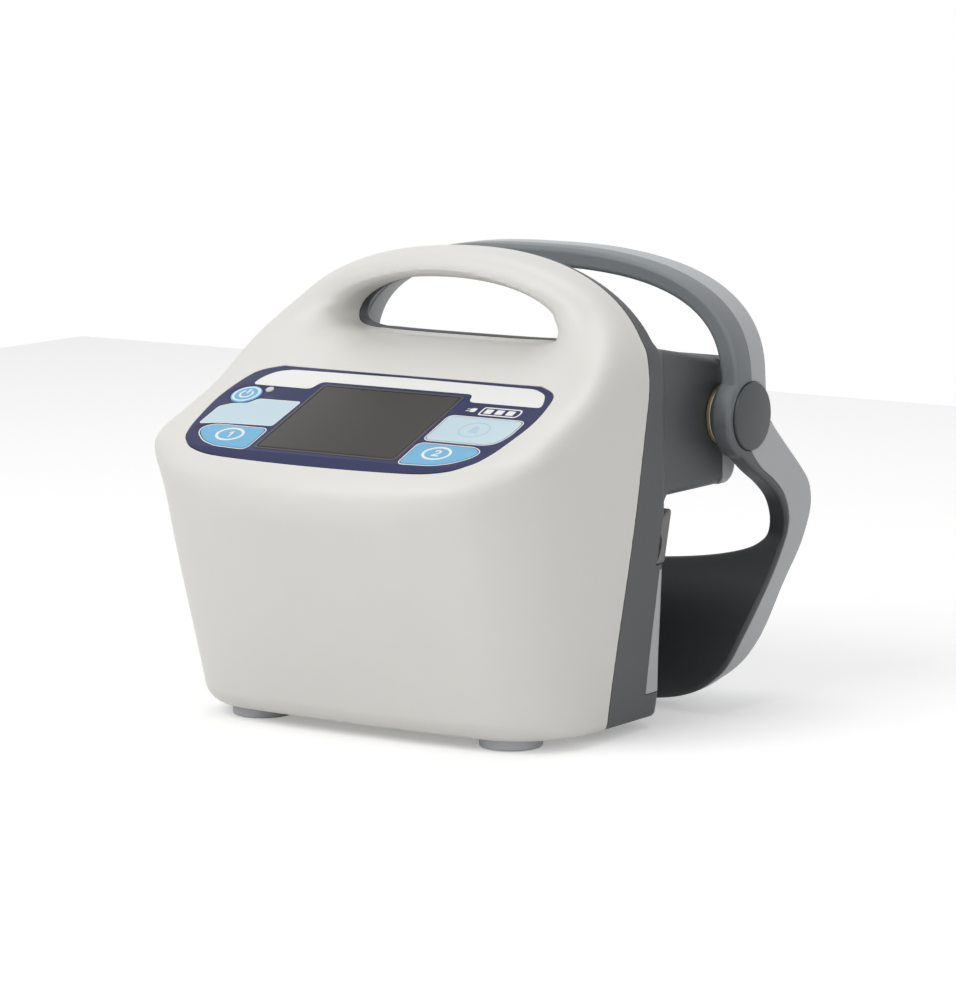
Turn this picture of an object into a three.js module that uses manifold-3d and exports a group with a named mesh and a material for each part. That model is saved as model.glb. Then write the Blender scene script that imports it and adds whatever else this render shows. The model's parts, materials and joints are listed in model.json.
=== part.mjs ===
// Compression therapy pump: a two-part moulded case with a carrying handle, a control panel on its
// sloped deck, and a sprung ring-shaped hook behind it that hangs the pump on a bed's footboard.
// Lengths are in millimetres. X is to the right, Y to the rear, Z up, and the feet stand on Z = 0.
import * as THREE from "three";
import { mergeVertices } from "three/addons/utils/BufferGeometryUtils.js";
import Module from "manifold-3d";

const wasm = await Module();
wasm.setup();

// Clearances shared by all pieces
const seam = 0.3; // gap between pieces that touch
const overrun = 5; // how far a cutting tool runs past what it cuts
const weld = 0.001; // points nearer than this are one point

// Case: outline seen from the front
const floorZ = 4;
const topZ = 175;
const domeRise = 53;
const shoulderZ = topZ - domeRise; // the sides are straight below this height, and a dome above it
const halfWidth = 83.2;
const sideTuck = 2.6; // the sides draw in by this much towards the floor
const footHalfWidth = halfWidth - sideTuck;
const domePower = 2.2;
const wall = 3;

// Case: the two halves meet in a plane that leans back
const partingFloorY = 45;
const partingTopY = 80;
const partingSlope = (partingTopY - partingFloorY) / topZ;

// Case: front wall, which overhangs towards the chin and bows forward
const toeY = -2;
const toeBow = 4.5;
const bowShare = 0.19; // growth of the bow for each unit of height
const flareShare = 0.035; // how much the sides widen for each unit towards the front
const handleEdgeDrop = 25;
const handleEdgeZ = topZ - handleEdgeDrop;

// Case: edge radii
const chinRadius = 13;
const cornerRadius = 27;
const deckEdgeRadius = 12;
const handleEdgeRadius = 9;
const toeRadius = 8;
const toeRadiusY = 5; // the floor's edge has the toe's radius in front of this
const sideFloorRadius = 2;
const rearFloorRadius = 5;
const rearRadius = 2.5;
const rearTopRadius = 3;

// Handle opening
const gripThickness = 10.6;
const holeHeight = 23.6;
const holeMidRise = 6.2;
const holeTopZ = topZ - gripThickness;
const holeSillZ = holeTopZ - holeHeight;
const holeMidZ = holeSillZ + holeMidRise;
const legWidth = 33.7;
const holeHalfWidth = halfWidth - legWidth;
const holeTopPower = 2.1;
const holeSillPower = 3.6;
const holeFlare = 7;
const holeFlareRearY = 68;
const holeFlareFrontY = 52;

// Deck: the plane that carries the panel, given by the display's lower edge
const deckY = -17.9;
const deckDrop = 33;
const deckZ = holeSillZ - deckDrop;
const deckAngle = THREE.MathUtils.degToRad(22);
const chinDrop = 15.8;
const chinZ = deckZ - chinDrop;
const deckEdgeRise = 4.2;
const deckEdgeZ = deckZ + deckEdgeRise;
const chinReach = 37;
const wallLean = chinReach / (chinZ - floorZ); // forward travel for each unit of height

// Handle legs rise out of the deck beside the opening
const legY = 30.8;
const legRise = 22.2;
const legZ = deckZ + legRise;
const legSlope = 0.89;
const legBlend = 6;
const legInset = 15.5;
const legOutset = 16.5;
const legInnerX = holeHalfWidth - legInset;
const legOuterX = holeHalfWidth + legOutset;
const gripFrontY = 57;
const gripDrop = 2.8;
const gripRise = 15;
const gripLowZ = holeSillZ - gripDrop;
const gripHighZ = gripLowZ + gripRise;
const flatMargin = 12.2;
const flatHalfX = halfWidth - flatMargin; // the deck stays flat inside this half width
const flatHalfV = 35.5;
const flatMidV = 24;
const flatPower = 6;
const flatStartShare = 1.04;
const flatEndShare = 1.3;

// Rear case
const rearY = 82.5;
const rearInset = 6.2; // wall of the lower rear, where the door is let in
const doorWall = 2.9;
const cavityDrop = 3.8;
const cavityTopZ = holeSillZ - cavityDrop;

// Support block at the rear, which rests on the footboard
const sideStep = 3.2;
const blockHalfWidth = halfWidth - sideStep;
const blockTopRise = 0.2;
const blockTopZ = holeSillZ + blockTopRise;
const blockHeightShare = 0.32;
const blockLowZ = blockTopZ - blockHeightShare * topZ;
const blockTopFall = 8;
const blockRearTopZ = blockTopZ - blockTopFall;
const blockRearY = 127.4;
const blockWall = 3.6;
const blockRadius = 4;
const coverRearY = 138;
const coverRadius = 7;
const rootY = 90; // a wedge under the block runs from here down to the rear wall
const rootDrop = 5.5;

// Ports for the two hose sets, wrapped round the rear corners under the block
const portMargin = 3.6;
const portWidth = 25.1;
const portOuterX = halfWidth - portMargin;
const portInnerX = portOuterX - portWidth;
const portSideInset = 1;
const portSideX = halfWidth - portSideInset;
const portDrop = 6.2;
const portHeight = 17.4;
const portTopZ = blockLowZ - portDrop;
const portLowZ = portTopZ - portHeight;
const portLip = 2.6; // the top climbs by this much to the rear
const portFrontY = 69;
const portLowY = 82.8;
const portTopY = 87.6;
const portSideLowY = 78;
const portSideTopY = 81;
const spigotInset = 14.6;
const portSpigotX = portOuterX - spigotInset;
const socketDrop = 6.4;
const socketZ = portTopZ - socketDrop;
const socketHalfWidth = 9.2;
const socketHalfHeight = 5.2;
const socketFloorY = 73;
const nippleRadius = 1.9;
const nippleBore = 0.9;
const nippleTipY = 78.6;
const nippleGap = 6;
const notchLength = 10;

// Battery door on the lower rear, wrapped round both rear corners
const doorLowZ = 13.4;
const doorGap = 2.2;
const doorTopZ = portLowZ - doorGap;
const doorTopY = 79.2;
const doorLowY = 72.6;
const doorScrewInset = 21.2;
const doorScrewDrop = 13.2;
const doorScrewX = halfWidth - doorScrewInset;
const doorScrewZ = doorTopZ - doorScrewDrop;

// Battery pack and the bay that carries it
const packHalfWidth = 36;
const packRise = 6.6;
const packDrop = 5.2;
const packLowZ = doorLowZ + packRise;
const packTopZ = doorTopZ - packDrop;
const packFrontY = 49;
const packRearY = 77;
const bayWall = 2.4;

// Pivot of the hook
const pivotY = 126.4;
const pivotRise = 27.1;
const pivotZ = blockLowZ + pivotRise;
const pinRadius = 3;
const pinLengthInside = 17;
const pinInnerX = blockHalfWidth - pinLengthInside;
const pinHeadRadius = 5;
const pinHeadLength = 4;
const bushRadius = 5;
const bushFlangeRadius = 9;
const bushFlange = 0.6;
const capRadius = 12.9;
const capThickness = 2;
const hubRadius = 16.2;
const hubClearance = 1.2;
const hubInnerX = blockHalfWidth + hubClearance;

// Hook: a plate with one window, bent to a side profile
const hookClearance = 5.3;
const hookWidth = 7.7;
const capRise = 1.3;
const hookInnerX = blockHalfWidth + hookClearance;
const hookOuterX = hookInnerX + hookWidth;
const capOuterX = hookOuterX + capRise;
const archDrop = 3;
const archThickness = 7.4;
const archRise = 9.9;
const archMidZ = pivotZ + archRise;
const archOuterZ = topZ - archDrop;
const archInnerZ = archOuterZ - archThickness;
const archOuterPower = 2.65;
const archInnerPower = 2.8;
const archFrontY = 116;
const archRearY = 138;
const lowerMidRun = 70; // lengths along the profile, down from the pivot
const lowerEndRun = 134.8;
const windowMidRun = 60;
const windowEndRun = 79;
const lowerPower = 4.7;
const windowPower = 2.6;

// Panel on the deck: x across, v up the slope from the display's lower edge
const displayWidth = 60.6;
const displayHeight = 46.5;
const displayLedge = 3;
const panelMargin = 1.1;
const panelHalfWidth = flatHalfX - panelMargin;
const panelLowV = -10.4;
const panelTopV = 60;
const panelThickness = 0.7;
const panelDepth = 1;
const lensThickness = 1.2;
const keyThickness = 0.9;
const keyTravel = 0.5;
const keyStemRadius = 2;
const keyStemLength = 4.6;
const lightRadius = 1.7;
const lightInset = 18;
const lightX = lightInset - panelHalfWidth;
const lightV = 40.7;

// Keys, placed from the display's side and from the panel's edge
const keyMargin = 3.7;
const keyOuterMargin = 8.4;
const keyInnerX = displayWidth / 2 + keyMargin;
const keyOuterX = panelHalfWidth - keyOuterMargin;
const keyLowV = -2.6;
const keyTopV = 12.4;
const keyCornerRadius = 2.5;
const muteOuterMargin = 3.9;
const muteInnerX = keyInnerX;
const muteOuterX = panelHalfWidth - muteOuterMargin;
const muteLowV = 15.2;
const muteTopV = 33.2;
const powerInset = 10.5;
const powerX = powerInset - panelHalfWidth;
const powerV = 35.8;
const powerRadius = 6.2;

// Boards under the deck
const keyBoardDrop = 9.4; // below the deck's surface
const boardThickness = 1.6;
const mainBoardDrop = 25;
const keyBoardMargin = 6.9;
const keyBoardHalfWidth = panelHalfWidth - keyBoardMargin;
const keyBoardLowV = -8;
const keyBoardTopV = 51;
const mainBoardMargin = 13.2;
const mainBoardHalfWidth = halfWidth - mainBoardMargin;
const mainBoardLowV = 2;
const mainBoardTopV = 56;
const postRadius = 2.6;
const upperPostMargin = 5.7;
const lowerPostMargin = 0.7;
const switchSide = 6;

// Feet
const footInset = 27.4;
const footX = halfWidth - footInset;
const footFrontY = 20;
const footRearY = 69;
const footWidthRadius = 11.7;
const footTreadRadius = 10.4;
const footPegRadius = 3;

// Case screws
const screwRadius = 1.6;
const screwHeadRadius = 3;
const screwHead = 2.2;
const screwLength = 16;
const upperScrewInset = 17.2;
const upperScrewX = halfWidth - upperScrewInset;
const upperScrewZ = holeMidZ;
const lowerScrewInset = 25.2;
const lowerScrewRise = 10.6;
const lowerScrewX = halfWidth - lowerScrewInset;
const lowerScrewZ = doorLowZ + lowerScrewRise;

// Mains inlet
const inletGap = 26.5;
const inletX = inletGap - portInnerX;
const inletDrop = 12.6;
const inletZ = blockLowZ - inletDrop;
const inletHalfWidth = 14;
const inletHalfHeight = 10;
const inletFlange = 1.6;
const inletDepth = 18;
const inletHollowHalfWidth = 11.8;
const inletHollowHalfHeight = 7.8;
const inletPinLength = 8.6;
const inletPinWidth = 2;
const inletPinHeight = 4;
const inletPinGap = 6.9;

// Air system
const motorShare = 0.2365; // the air system's heights follow the room below the valves
const motorRadius = motorShare * doorTopZ;
const motorLength = 36;
const motorInset = 92.2;
const motorX = halfWidth - motorInset;
const motorY = 27;
const headLength = 26;
const headHalfY = 14;
const headShare = 0.2534;
const headHalfZ = headShare * doorTopZ;
const cradleShare = 0.135;
const cradleHigh = cradleShare * doorTopZ;
const manifoldInset = 21;
const manifoldLength = 58;
const manifoldX1 = portSpigotX - manifoldInset;
const manifoldX0 = manifoldX1 - manifoldLength;
const manifoldHigh = 14;
const manifoldY0 = 46;
const manifoldY1 = 59;
const valveRadius = 4;
const valveLength = 20;
const hoseRadius = 3.2;
const hoseBore = 1.7;
const spigotRadius = 1.2;
const spigotLength = 6;

// Power board on the case floor
const powerBoardInset = 17.2;
const powerBoardX0 = powerBoardInset - halfWidth;
const powerBoardGap = 2;
const powerBoardX1 = motorX - powerBoardGap;
const powerBoardY0 = 11;
const powerBoardY1 = 44;
const powerBoardZ = 13;
const postStand = 2;

// Alarm speaker on the rear wall
const speakerX = -34;
const speakerRise = 21;
const speakerZ = blockLowZ + speakerRise;
const speakerRadius = 12;
const speakerDepth = 7;

// Facets
const roundSteps = 14;
const capSteps = 22;
const smallSteps = 6;
const cornerSteps = 2;

const mats = {
  white: finish(0xe4e2dd, 0.42),
  darkGrey: finish(0x55585b, 0.5),
  lightGrey: finish(0x9c9ea1, 0.48),
  padGrey: finish(0x3f4447, 0.62),
  navy: finish(0x262e5e, 0.35),
  blue: finish(0x6fb3dd, 0.4),
  paleBlue: finish(0xc3dfeb, 0.4),
  glass: finish(0x24251f, 0.12),
  clear: finish(0xd8e4e0, 0.25),
  rubber: finish(0xb9bcb9, 0.8),
  black: finish(0x232426, 0.55),
  board: finish(0x1f5a3a, 0.6),
  steel: finish(0xb4b6b8, 0.32, 0.9),
  brass: finish(0xc29a4b, 0.35, 0.9),
  blueWrap: finish(0x3b5f93, 0.5),
  hose: finish(0xdfe3e2, 0.5),
};

function finish(color, roughness, metalness = 0) {
  return new THREE.MeshStandardMaterial({ color, roughness, metalness });
}

// Solids: every closed geometry becomes one, and pieces are joined and cut as solids

function solidOf(geometry) {
  const bare = geometry.clone();
  bare.deleteAttribute("normal");
  bare.deleteAttribute("uv");
  const welded = mergeVertices(bare, weld);
  const from = welded.index.array;
  const triVerts = [];
  for (let i = 0; i < from.length; i += 3) {
    const [a, b, c] = [from[i], from[i + 1], from[i + 2]];
    if (a !== b && b !== c && c !== a) triVerts.push(a, b, c);
  }
  const made = new wasm.Manifold(
    new wasm.Mesh({
      numProp: 3,
      vertProperties: new Float32Array(welded.attributes.position.array),
      triVerts: new Uint32Array(triVerts),
    }),
  );
  return made;
}

function geometryOf(solid) {
  const { vertProperties, triVerts, numProp } = solid.getMesh();
  const geometry = new THREE.BufferGeometry();
  geometry.setAttribute("position", new THREE.BufferAttribute(vertProperties, numProp));
  geometry.setIndex(new THREE.BufferAttribute(triVerts, 1));
  geometry.computeVertexNormals();
  return geometry;
}

function cut(solid, ...tools) {
  return tools.reduce((left, tool) => left.subtract(tool), solid);
}

function join(...solids) {
  return solids.reduce((sum, next) => sum.add(next));
}

// A closed surface from rows of points: each row is a strip from one end of the body to the other,
// and the rows close round it
function wrapped(rows) {
  const across = rows[0].length;
  const positions = rows.flat(2);
  const index = [];
  rows.forEach((row, i) => {
    const next = (i + 1) % rows.length;
    for (let j = 0; j + 1 < across; j++) {
      const a = i * across + j;
      const b = next * across + j;
      index.push(a, b, b + 1, a, b + 1, a + 1);
    }
  });
  return facesOut(positions, index);
}

// A closed tube from rings of points: the rings close on themselves and on the first ring again
function ringed(rings) {
  const across = rings[0].length;
  const positions = rings.flat(2);
  const index = [];
  rings.forEach((ring, i) => {
    const next = (i + 1) % rings.length;
    for (let j = 0; j < across; j++) {
      const k = (j + 1) % across;
      const a = i * across + j;
      const b = next * across + j;
      const c = next * across + k;
      const d = i * across + k;
      index.push(a, b, c, a, c, d);
    }
  });
  return facesOut(positions, index);
}

// Turns the faces round where the body would be inside out
function facesOut(positions, index) {
  const corner = (i) => new THREE.Vector3().fromArray(positions, 3 * i);
  let volume = 0;
  for (let i = 0; i < index.length; i += 3) {
    const [a, b, c] = [corner(index[i]), corner(index[i + 1]), corner(index[i + 2])];
    volume += a.dot(b.cross(c));
  }
  if (volume < 0) index.reverse();
  const geometry = new THREE.BufferGeometry();
  geometry.setAttribute("position", new THREE.Float32BufferAttribute(positions, 3));
  geometry.setIndex(index);
  return geometry;
}

// Outlines

function roundedOutline(points, radius, steps = cornerSteps) {
  const outline = [];
  points.forEach((point, i) => {
    const corner = new THREE.Vector2(...point);
    const before = new THREE.Vector2(...points[(i + points.length - 1) % points.length]);
    const after = new THREE.Vector2(...points[(i + 1) % points.length]);
    const near = Math.min(radius, corner.distanceTo(before) / 2.1);
    const far = Math.min(radius, corner.distanceTo(after) / 2.1);
    const start = corner.clone().lerp(before, near / corner.distanceTo(before));
    const end = corner.clone().lerp(after, far / corner.distanceTo(after));
    const curve = new THREE.QuadraticBezierCurve(start, corner, end);
    outline.push(...curve.getPoints(steps));
  });
  return outline;
}

function rectangle(x0, y0, x1, y1, radius) {
  const corners = [
    [x0, y0],
    [x1, y0],
    [x1, y1],
    [x0, y1],
  ];
  return roundedOutline(corners, radius);
}

function circle(x, y, radius, steps = roundSteps) {
  const points = [];
  for (let i = 0; i < steps; i++) {
    const turn = (2 * Math.PI * i) / steps;
    points.push(new THREE.Vector2(x + radius * Math.cos(turn), y + radius * Math.sin(turn)));
  }
  return points;
}

// Moves each point of a closed outline outwards
function grown(outline, by) {
  const turnsLeft = THREE.ShapeUtils.area(outline) > 0 ? 1 : -1;
  return outline.map((point, i) => {
    const before = outline[(i + outline.length - 1) % outline.length];
    const after = outline[(i + 1) % outline.length];
    const along = after.clone().sub(before).normalize();
    return new THREE.Vector2(
      point.x + turnsLeft * along.y * by,
      point.y - turnsLeft * along.x * by,
    );
  });
}

function mirrored(outline) {
  return outline.map((point) => new THREE.Vector2(-point.x, point.y)).reverse();
}

// Prisms of an outline along each axis, between two places on it

function prism(outline, from, to, basis, holes = []) {
  const shape = new THREE.Shape(outline);
  shape.holes = holes.map((hole) => new THREE.Path(hole));
  const geometry = new THREE.ExtrudeGeometry(shape, {
    depth: to - from,
    bevelEnabled: false,
    curveSegments: 1,
  });
  geometry.translate(0, 0, from);
  return geometry.applyMatrix4(basis);
}

const axisX = new THREE.Vector3(1, 0, 0);
const axisY = new THREE.Vector3(0, 1, 0);
const axisZ = new THREE.Vector3(0, 0, 1);
const alongX = new THREE.Matrix4().makeBasis(axisY, axisZ, axisX);
const alongY = new THREE.Matrix4().makeBasis(axisZ, axisX, axisY);
const alongZ = new THREE.Matrix4();

// Outline in (y, z)
function prismX(outline, x0, x1, holes) {
  return prism(outline, x0, x1, alongX, holes);
}

// Outline in (x, z)
function prismY(outline, y0, y1, holes = []) {
  const swap = (points) => points.map((point) => new THREE.Vector2(point.y, point.x));
  return prism(swap(outline), y0, y1, alongY, holes.map(swap));
}

// Outline in (x, y)
function prismZ(outline, z0, z1, holes) {
  return prism(outline, z0, z1, alongZ, holes);
}

function block(x0, x1, y0, y1, z0, z1) {
  const geometry = new THREE.BoxGeometry(x1 - x0, y1 - y0, z1 - z0);
  geometry.translate((x0 + x1) / 2, (y0 + y1) / 2, (z0 + z1) / 2);
  return geometry;
}

// A profile of [radius, height] pairs turned round an axis through a point
function turned(profile, basis, x = 0, y = 0, z = 0, steps = roundSteps) {
  const points = profile.map(([radius, height]) => new THREE.Vector2(radius, height));
  const geometry = new THREE.LatheGeometry(points, steps);
  geometry.rotateX(Math.PI / 2);
  geometry.applyMatrix4(basis);
  geometry.translate(x, y, z);
  const position = geometry.getAttribute("position");
  return facesOut([...position.array], [...geometry.index.array]);
}

function rod(radius, from, to, basis, x, y, z, steps) {
  const profile = [
    [0, from],
    [radius, from],
    [radius, to],
    [0, to],
  ];
  return turned(profile, basis, x, y, z, steps);
}

// A tube with an open bore along a curve
function hoseAlong(points) {
  const path = new THREE.CatmullRomCurve3(points.map((point) => new THREE.Vector3(...point)));
  const shape = new THREE.Shape(circle(0, 0, hoseRadius, smallSteps));
  shape.holes = [new THREE.Path(circle(0, 0, hoseBore, smallSteps))];
  return new THREE.ExtrudeGeometry(shape, { steps: points.length + 2, extrudePath: path });
}

// Shared maths

function eased(value, low, high) {
  return THREE.MathUtils.smoothstep(value, low, high);
}

function mixed(value, low, high, from, to) {
  return THREE.MathUtils.lerp(from, to, eased(value, low, high));
}

// The larger of two signed distances, with the edge between the two surfaces rounded
function roundedMax(a, b, radius) {
  const both = Math.hypot(Math.max(a + radius, 0), Math.max(b + radius, 0));
  return both - radius + Math.min(Math.max(a, b) + radius, 0);
}

function gauge(x, y, power) {
  return (Math.abs(x) ** power + Math.abs(y) ** power) ** (1 / power);
}

// Case form, as signed distances that are negative inside

function partingY(z) {
  return partingFloorY + partingSlope * z;
}

function outlineGap(x, z) {
  if (z <= shoulderZ) return Math.abs(x) - mixed(z, floorZ, chinZ, footHalfWidth, halfWidth);
  const rise = topZ - shoulderZ;
  const reach = gauge(x / halfWidth, (z - shoulderZ) / rise, domePower);
  return Math.hypot(x, z - shoulderZ) * (1 - 1 / reach);
}

function deckPlaneY(z) {
  return deckY + (z - deckZ) / Math.tan(deckAngle);
}

// How far the surface has left the flat deck for the handle's legs, from 0 to 1
function legShare(x, z) {
  const v = (z - deckZ) / Math.sin(deckAngle);
  const reach = gauge(x / flatHalfX, (v - flatMidV) / flatHalfV, flatPower);
  const sideways = eased(Math.abs(x), legInnerX, legOuterX) * eased(reach, flatStartShare, flatEndShare);
  return 1 - (1 - sideways) * (1 - eased(z, gripLowZ, gripHighZ));
}

function deckSurfaceY(x, z) {
  const plane = deckPlaneY(z);
  const drop = Math.min(legY + (z - legZ) / legSlope, gripFrontY) - plane;
  return plane + (legShare(x, z) * (drop - Math.hypot(drop, legBlend))) / 2;
}

function wallSurfaceY(x, z) {
  const bow = toeBow + bowShare * (z - floorZ);
  return toeY - wallLean * (z - floorZ) + bow * (x / halfWidth) ** 2;
}

function frontGap(x, y, z) {
  const wallGap = (wallSurfaceY(x, z) - y) / Math.hypot(1, wallLean);
  const steep = THREE.MathUtils.lerp(Math.sin(deckAngle), 1, legShare(x, z));
  const deckGap = (deckSurfaceY(x, z) - y) * steep;
  const front = roundedMax(wallGap, deckGap, chinRadius);
  const side = outlineGap(x, z) - flareShare * (partingY(z) - y);
  const lower = mixed(z, chinZ, deckEdgeZ, cornerRadius, deckEdgeRadius);
  const radius = mixed(z, deckEdgeZ, handleEdgeZ, lower, handleEdgeRadius);
  const below = mixed(y, toeRadiusY, partingFloorY, toeRadius, sideFloorRadius);
  return roundedMax(roundedMax(front, side, radius), floorZ - z, below);
}

function rearGap(x, y, z) {
  const side = roundedMax(outlineGap(x, z), floorZ - z, sideFloorRadius);
  const lower = mixed(z, floorZ, doorLowZ, rearFloorRadius, rearRadius);
  return roundedMax(side, y - rearY, mixed(z, doorTopZ, handleEdgeZ, lower, rearTopRadius));
}

// Half of the case form, on one side of the parting plane. Spokes run out from a spine on that
// plane to the outline, and each then climbs over the surface to the middle of the face.
const spineLowZ = 20;
const floorShares = [0, 0.3, 0.6, 0.85];
const cornerShares = [
  [1.8, 0],
  [0.3, 0.3],
  [0, 1.2],
  [0, 3],
];
const levelShares = [
  0.1, 0.36, 0.5, 0.55, 0.58, 0.61, 0.64, 0.67, 0.705, 0.745, 0.785, 0.825, 0.865, 0.9, 0.93, 0.965,
];
const domeShares = [0.34, 0.42, 0.5, 0.58, 0.66, 0.74, 0.82, 0.91];
const plainLevelShares = [0.2, 0.45, 0.57, 0.63, 0.68, 0.72, 0.78, 0.87];
const plainDomeShares = [0.36, 0.6, 0.8];
const frontRings = 13;
const plainRings = 7;
const probes = 72;
const bendWeight = 45; // a bend of one radian takes as many rings as this length

function outlineTargets(levels, dome) {
  const targets = floorShares.map((share) => [share * footHalfWidth, floorZ]);
  cornerShares.forEach(([inward, up]) => {
    targets.push([footHalfWidth - inward * sideFloorRadius, floorZ + up * sideFloorRadius]);
  });
  levels.forEach((share) => {
    targets.push([halfWidth, floorZ + share * (handleEdgeZ - floorZ)]);
  });
  dome.forEach((share) => {
    const turn = (share * Math.PI) / 2;
    targets.push([
      halfWidth * Math.cos(turn) ** (2 / domePower),
      shoulderZ + domeRise * Math.sin(turn) ** (2 / domePower),
    ]);
  });
  const left = targets.slice(1).reverse();
  return [...targets, [0, topZ], ...left.map(([x, z]) => [-x, z])];
}

// Turns of the rings on one spoke, placed by how far the surface runs and how much it bends
function ringTurns(reach, rings) {
  const place = (turn) => new THREE.Vector2(Math.cos(turn), Math.sin(turn)).multiplyScalar(reach(turn));
  const travel = [0];
  let before = place(0);
  let heading = null;
  for (let i = 1; i <= probes; i++) {
    const point = place((i * Math.PI) / 2 / probes);
    const step = point.clone().sub(before);
    const bend = heading ? Math.abs(Math.atan2(heading.cross(step), heading.dot(step))) : 0;
    travel.push(travel[i - 1] + step.length() + bendWeight * bend);
    before = point;
    heading = step;
  }
  const turns = [];
  let i = 0;
  for (let ring = 0; ring <= rings; ring++) {
    const wanted = (ring / rings) * travel[probes];
    while (i < probes - 1 && travel[i + 1] < wanted) i++;
    const part = (wanted - travel[i]) / (travel[i + 1] - travel[i]);
    turns.push(((i + part) * Math.PI) / 2 / probes);
  }
  return turns;
}

function halfForm({ gap, facing, offset = 0, highZ = handleEdgeZ, rings = plainRings, targets }) {
  const reachLimit = 4 * halfWidth;
  const hit = (origin, heading) => {
    let inside = 0;
    let outside = reachLimit;
    const probe = new THREE.Vector3();
    for (let i = 0; i < 30; i++) {
      const middle = (inside + outside) / 2;
      probe.copy(origin).addScaledVector(heading, middle);
      if (gap(probe.x, probe.y, probe.z) > 0) outside = middle;
      else inside = middle;
    }
    return inside;
  };
  const out = axisY.clone().multiplyScalar(facing);
  const spokes = targets.map(([x, z]) => {
    const spineZ = THREE.MathUtils.clamp(z, spineLowZ, highZ);
    const spine = new THREE.Vector3(0, partingY(spineZ) + offset, spineZ);
    const aim = new THREE.Vector3(x, partingSlope * (z - spineZ), z - spineZ).normalize();
    const towards = (turn) => {
      const heading = aim.clone().multiplyScalar(Math.cos(turn));
      return heading.addScaledVector(out, Math.sin(turn)).normalize();
    };
    return { spine, towards, turns: ringTurns((turn) => hit(spine, towards(turn)), rings) };
  });
  const rows = spokes.map(({ spine, towards, turns }, i) => {
    const before = spokes[(i + spokes.length - 1) % spokes.length].turns;
    const after = spokes[(i + 1) % spokes.length].turns;
    const edge = turns.slice(0, -1).map((turn, k) => {
      const heading = towards((before[k] + 2 * turn + after[k]) / 4);
      return spine.clone().addScaledVector(heading, hit(spine, heading)).toArray();
    });
    const middle = spine.clone().addScaledVector(out, hit(spine, out));
    return [spine.toArray(), ...edge, middle.toArray()];
  });
  return solidOf(wrapped(rows));
}

const fineTargets = outlineTargets(levelShares, domeShares);
const rearTargets = outlineTargets(plainLevelShares, domeShares);
const plainTargets = outlineTargets(plainLevelShares, plainDomeShares);

// Deck frame: a group, and a matrix for the tools that cut the shell there

function deckFrame() {
  const frame = new THREE.Object3D();
  frame.position.set(0, deckY, deckZ);
  frame.rotation.x = deckAngle;
  frame.updateMatrix();
  return frame;
}

const deckMatrix = deckFrame().matrix;

function onDeck(geometry) {
  return solidOf(geometry.clone().applyMatrix4(deckMatrix));
}

// Panel outlines, in the deck frame

const panelShares = [
  [0.55, 0.017],
  [0.787, 0.07],
  [0.898, 0.155],
  [0.945, 0.245],
  [0.975, 0.38],
  [1, 0.617],
  [0.972, 0.84],
  [0.925, 0.93],
  [0.823, 0.986],
];

function panelOutline() {
  const height = panelTopV - panelLowV;
  const right = panelShares.map(
    ([x, v]) => new THREE.Vector2(x * panelHalfWidth, panelLowV + v * height),
  );
  const lowMiddle = new THREE.Vector2(0, panelLowV);
  const left = mirrored(right);
  const curve = new THREE.SplineCurve([...left, lowMiddle, ...right]);
  return curve.getPoints(30);
}

const sideKeyShares = [
  [0, 0],
  [0, 1],
  [0.86, 1],
  [1, 0.82],
  [0.95, 0.55],
  [0.75, 0.22],
  [0.5, 0.05],
];

function sideKeyOutline() {
  const points = sideKeyShares.map(([x, v]) => [
    keyInnerX + x * (keyOuterX - keyInnerX),
    keyLowV + v * (keyTopV - keyLowV),
  ]);
  return roundedOutline(points, keyCornerRadius, 2);
}

const muteKeyShares = [
  [0, 0],
  [0.8, 0],
  [0.93, 0.1],
  [1, 0.45],
  [1, 1],
  [0, 1],
];

function muteKeyOutline() {
  const points = muteKeyShares.map(([x, v]) => [
    muteInnerX + x * (muteOuterX - muteInnerX),
    muteLowV + v * (muteTopV - muteLowV),
  ]);
  return roundedOutline(points, keyCornerRadius, 2);
}

const sideKeyX = (keyInnerX + keyOuterX) / 2;
const sideKeyV = (keyLowV + keyTopV) / 2;
const muteX = (muteInnerX + muteOuterX) / 2;
const muteV = (muteLowV + muteTopV) / 2;
const powerRing = circle(powerX, powerV, powerRadius);

const keys = [
  { name: "power_key", outline: powerRing, x: powerX, v: powerV, skin: mats.blue },
  { name: "left_key", outline: mirrored(sideKeyOutline()), x: -sideKeyX, v: sideKeyV, skin: mats.blue },
  { name: "right_key", outline: sideKeyOutline(), x: sideKeyX, v: sideKeyV, skin: mats.blue },
  { name: "mute_key", outline: muteKeyOutline(), x: muteX, v: muteV, skin: mats.paleBlue },
];

function displayOutline(inset) {
  const half = displayWidth / 2 - inset;
  return rectangle(-half, inset, half, displayHeight - inset, overrun / 4);
}

// Handle opening, as a tool that widens towards the front

function openingRing(y, flare) {
  const steps = capSteps;
  const ring = [];
  for (let i = 0; i < steps; i++) {
    const turn = (2 * Math.PI * i) / steps;
    const up = Math.sin(turn) >= 0;
    const power = up ? holeTopPower : holeSillPower;
    const rise = up ? holeTopZ - holeMidZ + flare : holeMidZ - holeSillZ;
    const across = Math.cos(turn);
    const along = Math.sin(turn);
    ring.push([
      (holeHalfWidth + flare) * Math.sign(across) * Math.abs(across) ** (2 / power),
      y,
      holeMidZ + rise * Math.sign(along) * Math.abs(along) ** (2 / power),
    ]);
  }
  return ring;
}

function openingTool() {
  const flareShares = [0, 0.35, 0.6, 0.8, 0.93, 1];
  const rings = [openingRing(rearY + overrun, 0)];
  flareShares.forEach((share) => {
    const y = THREE.MathUtils.lerp(holeFlareRearY, holeFlareFrontY, share);
    rings.push(openingRing(y, holeFlare * (1 - Math.sqrt(1 - share * share))));
  });
  rings.push(openingRing(deckY, holeFlare));
  return capped(rings);
}

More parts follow.
